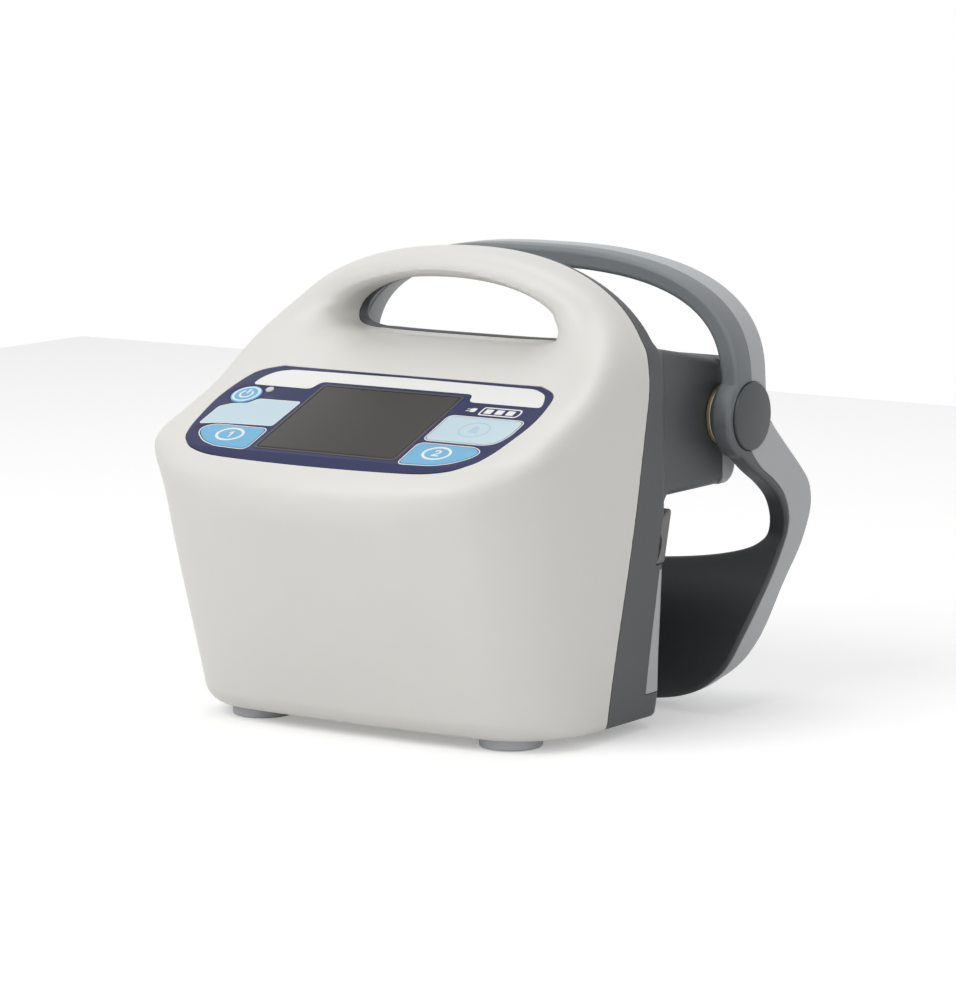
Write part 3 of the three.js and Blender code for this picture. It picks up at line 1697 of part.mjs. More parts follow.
function ringTowards(key) {
  const reader = profileReader();
  const rings = ringEdges().map(({ outer, inner }) => {
    const near = [];
    const far = [];
    acrossShares.forEach((share) => {
      const x = THREE.MathUtils.lerp(outer[0], inner[0], share);
      const run = THREE.MathUtils.lerp(outer[1], inner[1], share);
      const [a, b] = [reader.seam(run), reader[key](run)];
      a.add(b.clone().sub(a).normalize().multiplyScalar(seam / 2));
      near.push([x, a.x, a.y]);
      far.unshift([x, b.x, b.y]);
    });
    return [...near, ...far];
  });
  return solidOf(ringed(rings));
}

function hubPlug(side, radius, from, to) {
  const low = Math.min(side * from, side * to);
  const high = Math.max(side * from, side * to);
  return solidOf(rod(radius, low, high, alongX, 0, pivotY, pivotZ, capSteps));
}

function hookFrame() {
  const body = ringTowards("rear");
  const cuts = [-1, 1].flatMap((side) => [
    hubPlug(side, pinRadius + seam, hubInnerX - overrun, hookOuterX + overrun),
    hubPlug(side, capRadius + seam, capOuterX - capThickness - seam, capOuterX + overrun),
  ]);
  return geometryOf(cut(body, ...cuts));
}

function hookPad() {
  const body = ringTowards("front");
  const discs = [-1, 1].map((side) => hubPlug(side, hubRadius, hubInnerX, hookInnerX - 3 * seam));
  const half = solidOf(
    block(-capOuterX, capOuterX, archFrontY - 2 * overrun, pivotY - seam / 2, pivotZ - hubRadius, pivotZ + hubRadius),
  );
  const fronts = [-1, 1].map((side) =>
    hubPlug(side, hubRadius, hubInnerX, hookOuterX).intersect(half),
  );
  const cuts = [-1, 1].flatMap((side) => [
    hubPlug(side, pinRadius + seam, hubInnerX - overrun, hookOuterX + overrun),
    hubPlug(side, capRadius + seam, capOuterX - capThickness - seam, capOuterX + overrun),
  ]);
  return geometryOf(cut(join(body, ...discs, ...fronts), ...cuts));
}

// Pivot pieces for the right side, along X. The left side has the same ones, turned round.

function pivotPin() {
  const outer = capOuterX - capThickness - seam;
  const profile = [
    [0, pinInnerX],
    [pinHeadRadius, pinInnerX],
    [pinHeadRadius, pinInnerX + pinHeadLength],
    [pinRadius, pinInnerX + pinHeadLength],
    [pinRadius, outer],
    [0, outer],
  ];
  return turned(profile, alongX);
}

function pivotBush() {
  const inner = blockHalfWidth - blockWall - seam;
  const bore = pinRadius + seam / 3;
  const profile = [
    [bore, inner],
    [bushRadius, inner],
    [bushRadius, blockHalfWidth + seam],
    [bushFlangeRadius, blockHalfWidth + seam],
    [bushFlangeRadius, blockHalfWidth + seam + bushFlange],
    [bore, blockHalfWidth + seam + bushFlange],
    [bore, inner],
  ];
  return turned(profile, alongX);
}

function pivotCap() {
  const inner = capOuterX - capThickness;
  const edge = capThickness / 3;
  const profile = [
    [0, inner],
    [capRadius, inner],
    [capRadius, capOuterX - edge],
    [capRadius - edge, capOuterX],
    [0, capOuterX],
  ];
  return turned(profile, alongX, 0, 0, 0, capSteps);
}

// Torsion spring on the pin, inside the support block
const springTurns = 3;
const wireRadius = 0.8;

function hookSpring() {
  const from = pinInnerX + pinHeadLength + 2 * wireRadius;
  const to = blockHalfWidth - blockWall - 3 * wireRadius;
  const radius = pinRadius + seam + 2 * wireRadius;
  const points = [];
  const steps = smallSteps * springTurns;
  for (let i = 0; i <= steps; i++) {
    const turn = (2 * Math.PI * springTurns * i) / steps;
    points.push(
      new THREE.Vector3(
        THREE.MathUtils.lerp(from, to, i / steps),
        radius * Math.cos(turn),
        radius * Math.sin(turn),
      ),
    );
  }
  const path = new THREE.CatmullRomCurve3(points);
  const wire = new THREE.Shape(circle(0, 0, wireRadius, 4));
  return new THREE.ExtrudeGeometry(wire, { steps, extrudePath: path });
}

// Assembly

function add(group, name, form, material) {
  const geometry = form.isBufferGeometry ? form : geometryOf(form);
  const mesh = new THREE.Mesh(geometry, material);
  mesh.name = name;
  group.add(mesh);
  return mesh;
}

const pump = new THREE.Group();
const rear = rearForm();

add(pump, "front_shell", frontShell(), mats.white);
add(pump, "rear_case", rearCase(rear), mats.darkGrey);
add(pump, "block_cover", blockCover(), mats.lightGrey);
add(pump, "battery_door", batteryDoor(rear), mats.lightGrey);

const deck = new THREE.Group();
deck.position.copy(deckFrame().position);
deck.rotation.x = deckAngle;
pump.add(deck);
add(deck, "control_overlay", controlOverlay(), mats.navy);
add(deck, "display_lens", displayLens(), mats.glass);
add(deck, "display_module", displayModule(), mats.black);
add(deck, "status_light", rod(lightRadius, seam - keyBoardDrop, 0, alongZ, lightX, lightV, 0, smallSteps), mats.clear);
keys.forEach((key) => add(deck, key.name, keyForm(key), key.skin));
keys.forEach((key) => {
  const click = add(deck, key.name.replace("key", "switch"), keySwitch(), mats.black);
  click.position.set(key.x, key.v, -keyBoardDrop);
});
add(deck, "key_board", keyBoard(), mats.board);
add(deck, "main_board", mainBoard(), mats.board);

add(pump, "power_board", powerBoard(), mats.board);
add(pump, "compressor_motor", compressorMotor(), mats.steel);
add(pump, "compressor_head", compressorHead(), mats.black);
add(pump, "compressor_cradle", compressorCradle(), mats.rubber);
add(pump, "valve_manifold", valveManifold(), mats.black);
for (let i = 0; i < valveCount; i++) {
  const valve = add(pump, `solenoid_valve_${i + 1}`, solenoidValve(), mats.steel);
  valve.rotation.z = Math.PI;
  valve.position.set(manifoldX0 + (i + 0.5) * valvePitch, manifoldY0 - seam, manifoldZ);
}
add(pump, "supply_hose", supplyHose(), mats.hose);
add(pump, "port_hose_left", portHose(-1), mats.hose);
add(pump, "port_hose_right", portHose(1), mats.hose);
add(pump, "tube_port_left", tubePort(-1), mats.black);
add(pump, "tube_port_right", tubePort(1), mats.black);
add(pump, "mains_inlet", mainsInlet(), mats.black);
add(pump, "battery_pack", batteryPack(), mats.blueWrap);
add(pump, "alarm_speaker", alarmSpeaker(), mats.black);

[
  ["foot_front_left", -footX, footFrontY],
  ["foot_front_right", footX, footFrontY],
  ["foot_rear_left", -footX, footRearY],
  ["foot_rear_right", footX, footRearY],
].forEach(([name, x, y]) => add(pump, name, foot(), mats.rubber).position.set(x, y, 0));

const screwNames = ["case_screw_upper_left", "case_screw_upper_right", "case_screw_lower_left", "case_screw_lower_right"];
caseScrews.forEach((screw, i) => {
  const mesh = add(pump, screwNames[i], screwForm(screwReach(screw)), mats.steel);
  mesh.position.set(screw.x, screw.headY, screw.z);
});
["left", "right"].forEach((side, i) => {
  const mesh = add(pump, `door_screw_${side}`, screwForm(2 * wall - seam), mats.steel);
  mesh.position.set((2 * i - 1) * doorScrewX, rearY - screwHead, doorScrewZ);
});

const pivots = new THREE.Group();
pivots.position.set(0, pivotY, pivotZ);
pump.add(pivots);
["right", "left"].forEach((side, i) => {
  const half = new THREE.Group();
  half.rotation.z = i * Math.PI;
  pivots.add(half);
  add(half, `pivot_pin_${side}`, pivotPin(), mats.steel);
  add(half, `pivot_bush_${side}`, pivotBush(), mats.brass);
  add(half, `pivot_cap_${side}`, pivotCap(), mats.darkGrey);
  add(half, `hook_spring_${side}`, hookSpring(), mats.steel);
});
add(pump, "hook_frame", hookFrame(), mats.lightGrey);
add(pump, "hook_pad", hookPad(), mats.padGrey);

// The origin is on the floor, under the middle of the whole pump
const extent = new THREE.Box3().setFromObject(pump);
pump.position.y = -(extent.min.y + extent.max.y) / 2;

export default pump;
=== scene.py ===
import json
import math

import bpy
import numpy as np
from mathutils import Matrix, Vector


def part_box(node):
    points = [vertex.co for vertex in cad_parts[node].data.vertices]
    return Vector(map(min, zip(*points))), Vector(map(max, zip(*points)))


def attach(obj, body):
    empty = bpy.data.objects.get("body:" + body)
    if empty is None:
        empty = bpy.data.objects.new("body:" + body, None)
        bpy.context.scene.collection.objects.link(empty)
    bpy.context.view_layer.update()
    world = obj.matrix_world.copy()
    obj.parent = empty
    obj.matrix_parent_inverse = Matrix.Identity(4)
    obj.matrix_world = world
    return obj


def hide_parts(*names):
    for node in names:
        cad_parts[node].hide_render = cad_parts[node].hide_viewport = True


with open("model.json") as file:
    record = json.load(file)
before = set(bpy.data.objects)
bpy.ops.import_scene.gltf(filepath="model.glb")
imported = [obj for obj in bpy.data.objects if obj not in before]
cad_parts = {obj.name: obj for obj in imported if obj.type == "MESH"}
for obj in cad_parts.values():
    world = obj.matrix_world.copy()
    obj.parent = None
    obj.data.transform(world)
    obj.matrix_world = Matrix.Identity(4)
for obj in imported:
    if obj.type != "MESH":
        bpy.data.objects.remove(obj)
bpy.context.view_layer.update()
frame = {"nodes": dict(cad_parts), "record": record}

# White front shell: moulded ABS, one half of the case, with the chin, the sloped deck and the front
# of the carrying handle. Its form is a set of planes and bowed walls with rounded edges, and the
# fine mesh lies on that form. It is cut at the parting plane and given its wall afterwards.
MM = 0.001
FEET_ROW = 20.0
feet_low, feet_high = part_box("foot_front_left")
SHIFT = 500.0 * (feet_low[1] + feet_high[1]) - FEET_ROW
CASE_FLOOR, CHIN, DECK_START, HANDLE = 4, 92, 112, 150
FLOOR_HALF, SIDE_LEAN, SHELL_HALF = 80.6, 2.6, 83.2
SHOULDER, DOME_RISE, DOME_POWER = 122, 53, 2.2
FRONT_Y, FRONT_LEAN, FRONT_RADIUS = -2, 0.4205, 13
BOW, BOW_GROWTH, SIDE_DRAFT = 4.5, 0.19, 0.035
WALL_EDGE, DECK_EDGE, HANDLE_EDGE = 27, 12, 9
SEAM_Y, SEAM_LEAN = 45, 0.2
DECK_Y, DECK_Z, DECK_TILT = -17.9, 107.8, math.radians(22)
LEG_Y, LEG_Z, LEG_SLOPE, HANDLE_Y = 30.8, 130, 0.89, 57
FIELD_HALF, FIELD_MID, FIELD_RISE, FIELD_POWER = 71, 24, 35.5, 6
GRIP_Z, GRIP_HALF, GRIP_RISE, GRIP_POWER = 147, 49.5, 17.4, 2.1
SILL_DROP, SILL_POWER = 6.2, 3.6
REAR_Y, DOOR_LOW, DOOR_HIGH = 82.5, 13.4, 59.2
BLOCK_HALF, BLOCK_LOW, BLOCK_HIGH, BLOCK_SLOPE_Y = 80, 85, 141, 90
ROOF_FALL, FLOOR_FALL = 0.178, 0.733
CASE_WALL = 2.5
FILM_GAP = 0.25


def to_metres(points):
    """Millimetres of the pump's own layout to metres in the shared frame."""
    return (np.asarray(points, dtype=float) + (0.0, SHIFT, 0.0)) * MM


def smooth(value, low, high):
    """0 below low, 1 above high and a soft ramp between."""
    t = np.clip((value - low) / (high - low), 0, 1)
    return t * t * (3 - 2 * t)


def round_max(a, b, radius):
    """The larger of two distances, with the edge where they meet rounded off."""
    corner = np.hypot(np.maximum(a + radius, 0), np.maximum(b + radius, 0))
    return corner - radius + np.minimum(np.maximum(a, b) + radius, 0)


def gauge(x, y, power):
    """1 on a rounded outline of half sizes 1, and less inside it."""
    return (np.abs(x) ** power + np.abs(y) ** power) ** (1 / power)


def parting(z):
    """Depth of the leaning plane in which the two halves of the case meet."""
    return SEAM_Y + SEAM_LEAN * z


def outline_gap(x, z):
    """Distance outside the case seen from the front: side walls, and a dome above the shoulders."""
    side = np.abs(x) - (FLOOR_HALF + SIDE_LEAN * smooth(z, CASE_FLOOR, CHIN))
    above = np.maximum(z - SHOULDER, 0) / DOME_RISE
    reach = np.maximum(gauge(x / SHELL_HALF, above, DOME_POWER), 1e-6)
    dome = np.hypot(x, z - SHOULDER) * (1 - 1 / reach)
    return np.where(z <= SHOULDER, side, dome)


def field_reach(x, z):
    """1 round the flat field that carries the control panel, and less inside it."""
    up_deck = (z - DECK_Z) / math.sin(DECK_TILT)
    return gauge(x / FIELD_HALF, (up_deck - FIELD_MID) / FIELD_RISE, FIELD_POWER)


def leg_share(x, z):
    """0 on the flat deck, and 1 where the wall belongs to the handle and its legs."""
    sideways = smooth(np.abs(x), 34, 66) * smooth(field_reach(x, z), 1.02, 1.4)
    sideways = np.maximum(sideways, smooth(np.abs(x), 69.5, 77))
    return 1 - (1 - sideways) * (1 - smooth(z, 138, 153))


def deck_y(x, z):
    """Depth of the deck's plane, drawn forward to the handle's line beside and above the panel."""
    plane = DECK_Y + (z - DECK_Z) / math.tan(DECK_TILT)
    recess = 0.36 * np.clip(152 - z, 0, 26) * (1 - smooth(np.abs(x), 64, 80))
    leg = LEG_Y + (z - LEG_Z) / LEG_SLOPE + recess
    drop = np.minimum(leg, HANDLE_Y) - plane
    return plane + leg_share(x, z) * (drop - np.hypot(drop, 5)) / 2


def opening_gap(x, z):
    """Distance outside the grip opening: a round arch above, and a long flat sill below."""
    rise = np.where(z >= GRIP_Z, GRIP_RISE, SILL_DROP)
    power = np.where(z >= GRIP_Z, GRIP_POWER, SILL_POWER)
    reach = np.maximum(gauge(x / GRIP_HALF, (z - GRIP_Z) / rise, power), 1e-6)
    radial = np.hypot(x, z - GRIP_Z) * (1 - 1 / reach)
    across = np.maximum(1 - (np.abs(x) / GRIP_HALF) ** SILL_POWER, 0)
    sill = GRIP_Z - SILL_DROP * across ** (1 / SILL_POWER)
    share = smooth(z, 143, GRIP_Z) + smooth(np.abs(x), 36, 47)
    return (sill - z) * np.maximum(1 - share, 0) + radial * np.minimum(share, 1)


def front_gap(x, y, z):
    """Distance outside the front half: bowed leaning wall, deck, sides, floor and grip opening."""
    bow = BOW + BOW_GROWTH * (z - CASE_FLOOR)
    wall = FRONT_Y - FRONT_LEAN * (z - CASE_FLOOR) + bow * (x / SHELL_HALF) ** 2 - y
    share = leg_share(x, z)
    steep = math.sin(DECK_TILT) * (1 - share) + share
    deck = (deck_y(x, z) - y) * steep
    front = round_max(wall / math.hypot(1, FRONT_LEAN), deck, FRONT_RADIUS)
    side = outline_gap(x, z) - SIDE_DRAFT * (parting(z) - y)
    low = WALL_EDGE - (WALL_EDGE - DECK_EDGE) * smooth(z, CHIN, DECK_START)
    edge = low + (HANDLE_EDGE - low) * smooth(z, DECK_START, HANDLE)
    body = round_max(round_max(front, side, edge), CASE_FLOOR - z, 8 - 6 * smooth(y, 5, 45))
    return round_max(body, -opening_gap(x, z), 3 + 4 * smooth(z, 140, HANDLE))


def rear_gap(x, y, z):
    """Distance outside the rear half and the support block that stands out behind it."""
    side = round_max(outline_gap(x, z), CASE_FLOOR - z, 2)
    lower = 5 - 2.5 * smooth(z, CASE_FLOOR, DOOR_LOW)
    body = round_max(side, y - REAR_Y, lower + (3 - lower) * smooth(z, DOOR_HIGH, HANDLE))
    body = round_max(body, -opening_gap(x, z), 3)
    roof = (z - BLOCK_HIGH + ROOF_FALL * (y - REAR_Y)) * 0.985
    sloped = (BLOCK_LOW - FLOOR_FALL * (BLOCK_SLOPE_Y - y) - z) * 0.806
    floor = np.minimum(BLOCK_LOW - z, sloped)
    block = round_max(np.abs(x) - BLOCK_HALF, roof, 4)
    block = round_max(block, floor, 4 - 2.5 * smooth(BLOCK_SLOPE_Y - y, 0, 6))
    block = np.maximum(np.maximum(block, 70 - y), y - 133)
    return -round_max(-body, -block, 0.5 + 2.5 * smooth(z, 84, 100))


def case_gap(p):
    """Distance outside the whole case, front and rear half blended at the seam."""
    x, y, z = p[..., 0], p[..., 1], p[..., 2]
    blend = smooth(y - parting(z), -4, 4)
    return front_gap(x, y, z) * (1 - blend) + rear_gap(x, y, z) * blend


def net_of(gap, low, high, step):
    """Vertices and quads of the surface where gap is zero, one vertex in each cell it crosses."""
    axes = [np.arange(a, b + step, step) for a, b in zip(low, high)]
    grid = np.stack(np.meshgrid(*axes, indexing="ij"), -1)
    value = gap(grid)
    inside = value < 0
    shape = np.array(inside.shape) - 1
    total = np.zeros(tuple(shape) + (3,))
    count = np.zeros(tuple(shape))
    crossings = []
    for axis in range(3):
        first = [slice(None)] * 3
        second = [slice(None)] * 3
        first[axis], second[axis] = slice(0, -1), slice(1, None)
        crosses = inside[tuple(first)] != inside[tuple(second)]
        index = np.argwhere(crosses)
        a, b = value[tuple(first)][crosses], value[tuple(second)][crosses]
        place = index.astype(float)
        place[:, axis] += a / (a - b)
        point = np.array(low) + place * step
        u, v = [other for other in range(3) if other != axis]
        cells = []
        for du, dv in ((-1, -1), (0, -1), (0, 0), (-1, 0)):
            cell = index.copy()
            cell[:, u] += du
            cell[:, v] += dv
            ok = np.all((cell >= 0) & (cell < shape), axis=1)
            np.add.at(total, tuple(cell[ok].T), point[ok])
            np.add.at(count, tuple(cell[ok].T), 1)
            cells.append(cell)
        outward = inside[tuple(first)][crosses]
        crossings.append((axis, cells, outward))
    used = count > 0
    number = -np.ones(tuple(shape), dtype=int)
    number[used] = np.arange(used.sum())
    points = total[used] / count[used][:, None]
    quads = []
    for axis, cells, outward in crossings:
        corners = [number[tuple(np.clip(cell, 0, shape - 1).T)] for cell in cells]
        corners = np.stack(corners, axis=1)
        flip = outward if axis != 1 else ~outward
        corners[~flip] = corners[~flip][:, ::-1]
        quads.append(corners)
    return points, np.concatenate(quads)


def settle(gap, points, rounds=4):
    """Moves points along the gap's slope until they lie on the surface."""
    for _ in range(rounds):
        slope = [(gap(points + step) - gap(points - step)) / 0.1 for step in np.eye(3) * 0.05]
        slope = np.stack(slope, -1)
        steep = np.maximum((slope**2).sum(-1), 0.05)
        points = points - slope * (gap(points) / steep)[:, None]
    return points


def relaxed(points, faces, rounds):
    """Evens out the blend between deck, chin and handle legs; panel, grip opening and seam stay."""
    x, y, z = points.T
    beside_panel = np.where(z > CHIN, smooth(field_reach(x, z), 1.0, 1.06), 1)
    share = beside_panel * smooth(opening_gap(x, z), 3, 8)
    share = share * smooth(parting(z) - y, 6, 14) * smooth(z, 60, 85)
    corners, following = faces.ravel(), np.roll(faces, -1, axis=1).ravel()
    count = np.maximum(np.bincount(corners, minlength=len(points)), 1)
    for _ in range(rounds):
        total = [
            np.bincount(corners, weights=points[following, axis], minlength=len(points))
            for axis in range(3)
        ]
        mean = np.stack(total, 1) / count[:, None]
        points = points + 0.6 * share[:, None] * (mean - points)
    return points


def placed(piece, body, *nodes):
    """Lets a piece ride on a body and take the place of the CAD nodes named."""
    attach(piece, body)
    if nodes:
        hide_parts(*nodes)
    return piece


def new_object(name, points, faces, body, *nodes):
    """A mesh in the shared frame from points in millimetres, riding on a body."""
    mesh = bpy.data.meshes.new(name)
    mesh.from_pydata([tuple(p) for p in to_metres(points)], [], [tuple(f) for f in faces])
    mesh.validate()
    piece = bpy.data.objects.new(name, mesh)
    bpy.context.collection.objects.link(piece)
    return placed(piece, body, *nodes)


def select_only(piece):
    bpy.ops.object.select_all(action="DESELECT")
    piece.select_set(True)
    bpy.context.view_layer.objects.active = piece


def edit_all(piece):
    """Enters edit mode with the whole mesh selected."""
    select_only(piece)
    bpy.ops.object.mode_set(mode="EDIT")
    bpy.ops.mesh.select_all(action="SELECT")


def apply_modifier(piece, kind, **settings):
    select_only(piece)
    modifier = piece.modifiers.new(kind, kind)
    for key, value in settings.items():
        setattr(modifier, key, value)
    bpy.ops.object.modifier_apply(modifier=modifier.name)


def give_wall(piece, thickness):
    """Turns an open skin into a moulded wall that grows inwards."""
    apply_modifier(
        piece, "SOLIDIFY", thickness=thickness * MM, offset=-1, use_even_offset=False
    )


def cut_off(piece, point, normal):
    """Removes what lies on the normal's side of a plane given in millimetres."""
    edit_all(piece)
    bpy.ops.mesh.bisect(
        plane_co=to_metres(point), plane_no=normal, clear_outer=True, use_fill=False
    )
    bpy.ops.object.mode_set(mode="OBJECT")


def smooth_shaded(piece):
    select_only(piece)
    bpy.ops.object.shade_smooth_by_angle(angle=math.radians(35))


SLIDE = Matrix.Translation((0, SHIFT * MM, 0))
DECK_FOOT = Matrix.Translation((0, DECK_Y * MM, DECK_Z * MM))
DECK = SLIDE @ DECK_FOOT @ Matrix.Rotation(DECK_TILT, 4, "X")


def rounded(points, radius, steps=8):
    """A closed outline with its corners rounded off."""
    points = [np.array(p, dtype=float) for p in points]
    outline = []
    for before, corner, after in zip(points[-1:] + points[:-1], points, points[1:] + points[:1]):
        ends = []
        for other in (before, after):
            span = np.linalg.norm(other - corner)
            ends.append(corner + (other - corner) * min(radius, span * 0.48) / span)
        for t in np.linspace(0, 1, steps + 1):
            outline.append((1 - t) ** 2 * ends[0] + 2 * t * (1 - t) * corner + t * t * ends[1])
    return outline


def box_outline(x0, y0, x1, y1, radius):
    return rounded([(x0, y0), (x1, y0), (x1, y1), (x0, y1)], radius)


def ellipse(x, y, half_x, half_y, steps=64):
    turn = np.arange(steps) * 2 * math.pi / steps
    return list(np.stack([x + half_x * np.cos(turn), y + half_y * np.sin(turn)], 1))


def sheet(name, outlines, low, high, matrix, edge=0.0):
    """A flat piece with rounded edges from closed outlines; an outline inside another is a hole."""
    curve = bpy.data.curves.new(name, "CURVE")
    curve.dimensions = "2D"
    curve.fill_mode = "BOTH"
    curve.extrude = ((high - low) / 2 - edge) * MM
    curve.bevel_depth = edge * MM
    curve.bevel_resolution = 2
    curve.offset = -edge * MM
    for outline in outlines:
        spline = curve.splines.new("POLY")
        spline.points.add(len(outline) - 1)
        for point, (x, y) in zip(spline.points, outline):
            point.co = (x * MM, y * MM, 0, 1)
        spline.use_cyclic_u = True
    piece = bpy.data.objects.new(name, curve)
    bpy.context.collection.objects.link(piece)
    select_only(piece)
    bpy.ops.object.convert(target="MESH")
    piece = bpy.context.object
    piece.data.transform(matrix @ Matrix.Translation((0, 0, (low + high) / 2 * MM)))
    edit_all(piece)
    bpy.ops.mesh.remove_doubles(threshold=1e-6)
    bpy.ops.mesh.normals_make_consistent(inside=False)
    bpy.ops.object.mode_set(mode="OBJECT")
    return piece


def cut_by(piece, *tools):
    for tool in tools:
        apply_modifier(piece, "BOOLEAN", operation="DIFFERENCE", object=tool, solver="EXACT")
        bpy.data.objects.remove(tool)


def grown(outline, by):
    """An outline moved outwards by a distance, or inwards by a negative one."""
    points = np.array(outline)
    before, after = np.roll(points, 1, axis=0), np.roll(points, -1, axis=0)
    along = after - before
    along /= np.maximum(np.linalg.norm(along, axis=1), 1e-9)[:, None]
    area = np.sum(points[:, 0] * after[:, 1] - after[:, 0] * points[:, 1])
    return list(points + np.sign(area) * by * np.stack([along[:, 1], -along[:, 0]], 1))


def on_spline(points, i, t):
    """Points on the smooth curve through the given ones, a share t of the way after the i-th."""
    p0, p1 = points[np.maximum(i - 1, 0)], points[i]
    p2, p3 = points[i + 1], points[np.minimum(i + 2, len(points) - 1)]
    v0, v1 = (p2 - p0) / 2, (p3 - p1) / 2
    cube = 2 * p1 - 2 * p2 + v0 + v1
    square = 3 * p2 - 3 * p1 - 2 * v0 - v1
    return cube * t**3 + square * t**2 + v0 * t + p1


def spline_through(points, count):
    """Points on the smooth open curve through the given ones."""
    points = np.array(points, dtype=float)
    place = np.linspace(0, len(points) - 1, count)
    i = np.minimum(place.astype(int), len(points) - 2)
    return on_spline(points, i, (place - i)[:, None])


PANEL_HALF, PANEL_LOW, PANEL_RISE = 69.9, -10.4, 70.4
PANEL_SHAPE = [
    (0.55, 0.017), (0.787, 0.07), (0.898, 0.155), (0.945, 0.245), (0.975, 0.38),
    (1, 0.617), (0.972, 0.84), (0.925, 0.93), (0.823, 0.986),
]
panel_right = [(x * PANEL_HALF, PANEL_LOW + v * PANEL_RISE) for x, v in PANEL_SHAPE]
panel_left = [(-x, v) for x, v in reversed(panel_right)]
panel_outline = list(spline_through([*panel_left, (0, PANEL_LOW), *panel_right], 150))
screen_outline = box_outline(-30.3, 0, 30.3, 46.5, 1.3)
KEY_RADIUS = 2.5
SIDE_KEY_CORNERS = [
    (34, -2.6), (34, 12.4), (57.65, 12.4), (61.5, 9.7), (60.1, 5.65), (54.6, 0.7), (47.75, -1.85),
]
MUTE_KEY_CORNERS = [(34, 15.2), (59.6, 15.2), (63.8, 17), (66, 23.3), (66, 33.2), (34, 33.2)]
side_key = rounded(SIDE_KEY_CORNERS, KEY_RADIUS)
left_side_key = [(-x, v) for x, v in reversed(side_key)]
mute_key = rounded(MUTE_KEY_CORNERS, KEY_RADIUS)
POWER_X, POWER_V = -59.4, 35.8
power_key = ellipse(POWER_X, POWER_V, 6.2, 6.2)
key_outlines = [side_key, left_side_key, mute_key, power_key]

SEAM_NORMAL = Vector((0, 1, -SEAM_LEAN)).normalized()
HALF_SEAM = 0.2
FINE = 1.5
case_points, case_faces = net_of(case_gap, (-90, -45, 0), (90, 134, 180), FINE)
case_points = relaxed(settle(case_gap, case_points), case_faces, 45)

front_shell = new_object("white_shell", case_points, case_faces, "case", "front_shell")
cut_off(front_shell, (0, SEAM_Y - HALF_SEAM, 0), SEAM_NORMAL)
give_wall(front_shell, CASE_WALL)
cut_by(
    front_shell,
    sheet("pocket", [grown(panel_outline, FILM_GAP)], -1, 5, DECK),
    sheet("pocket", [grown(screen_outline, FILM_GAP)], -5, 5, DECK),
    *[sheet("pocket", [grown(outline, FILM_GAP)], -1.7, 5, DECK) for outline in key_outlines],
)


def moulded(
    name, colour, rough, grain=0.0, mottle=0.03, scale=2600, coat=0.0, metal=0.0, specular=0.5
):
    """Moulded or printed finish: fine spark-eroded grain, faint clouding of colour and gloss."""
    material = bpy.data.materials.new(name)
    material.use_nodes = True
    nodes, links = material.node_tree.nodes, material.node_tree.links
    shader = nodes["Principled BSDF"]
    shader.inputs["Base Color"].default_value = (*colour, 1)
    shader.inputs["Roughness"].default_value = rough
    shader.inputs["Coat Weight"].default_value = coat
    shader.inputs["Metallic"].default_value = metal
    shader.inputs["Specular IOR Level"].default_value = specular
    place = nodes.new("ShaderNodeTexCoord")
    cloud = nodes.new("ShaderNodeTexNoise")
    cloud.inputs["Scale"].default_value = 26
    cloud.inputs["Detail"].default_value = 5
    links.new(place.outputs["Object"], cloud.inputs["Vector"])
    tint = nodes.new("ShaderNodeMix")
    tint.data_type = "RGBA"
    tint.inputs["A"].default_value = (*[c * (1 - mottle) for c in colour], 1)
    tint.inputs["B"].default_value = (*[min(c * (1 + mottle), 1) for c in colour], 1)
    links.new(cloud.outputs["Fac"], tint.inputs["Factor"])
    links.new(tint.outputs["Result"], shader.inputs["Base Color"])
    gloss = nodes.new("ShaderNodeMapRange")
    gloss.inputs["To Min"].default_value = rough * 0.88
    gloss.inputs["To Max"].default_value = min(rough * 1.12, 1)
    links.new(cloud.outputs["Fac"], gloss.inputs["Value"])
    links.new(gloss.outputs["Result"], shader.inputs["Roughness"])
    if grain:
        fine = nodes.new("ShaderNodeTexNoise")
        fine.inputs["Scale"].default_value = scale
        fine.inputs["Detail"].default_value = 3
        links.new(place.outputs["Object"], fine.inputs["Vector"])
        bump = nodes.new("ShaderNodeBump")
        bump.inputs["Strength"].default_value = grain
        bump.inputs["Distance"].default_value = 0.0002
        links.new(fine.outputs["Fac"], bump.inputs["Height"])
        links.new(bump.outputs["Normal"], shader.inputs["Normal"])
    return material


def give(piece, material):
    piece.data.materials.clear()
    piece.data.materials.append(material)


def dress(piece, material):
    """Smooth shading and the finish of a piece whose shape is done."""
    smooth_shaded(piece)
    give(piece, material)


white_plastic = moulded("white_moulded_abs", (0.73, 0.715, 0.682), 0.42, grain=0.12)
dress(front_shell, white_plastic)

# Dark rear case: the other half, which meets the white shell in a fine seam. It carries the rear of
# the handle and the support block that stands out behind it, and is moulded in charcoal ABS. It has
# windows for the ports and the mains inlet, and bores for the pivots and the screws.
ALONG_X = SLIDE @ Matrix(((0, 0, 1, 0), (1, 0, 0, 0), (0, 1, 0, 0), (0, 0, 0, 1)))
ALONG_Y = SLIDE @ Matrix(((1, 0, 0, 0), (0, 0, -1, 0), (0, 1, 0, 0), (0, 0, 0, 1)))
PIVOT = np.array((126.4, 112.1))
PIVOT_BORE, SCREW_BORE = 5.3, 3.3
SCREW_X, SCREW_Z = 66, 147
BLOCK_END = 127.4
PORT_LOW, PORT_HIGH = 61.1, 79.1
port_zone = [(76.6, PORT_LOW), (90, PORT_LOW), (90, PORT_HIGH), (80.2, PORT_HIGH)]
door_zone = [(78.9, 59.5), (72.3, 13.1), (90, 13.1), (90, 59.5)]


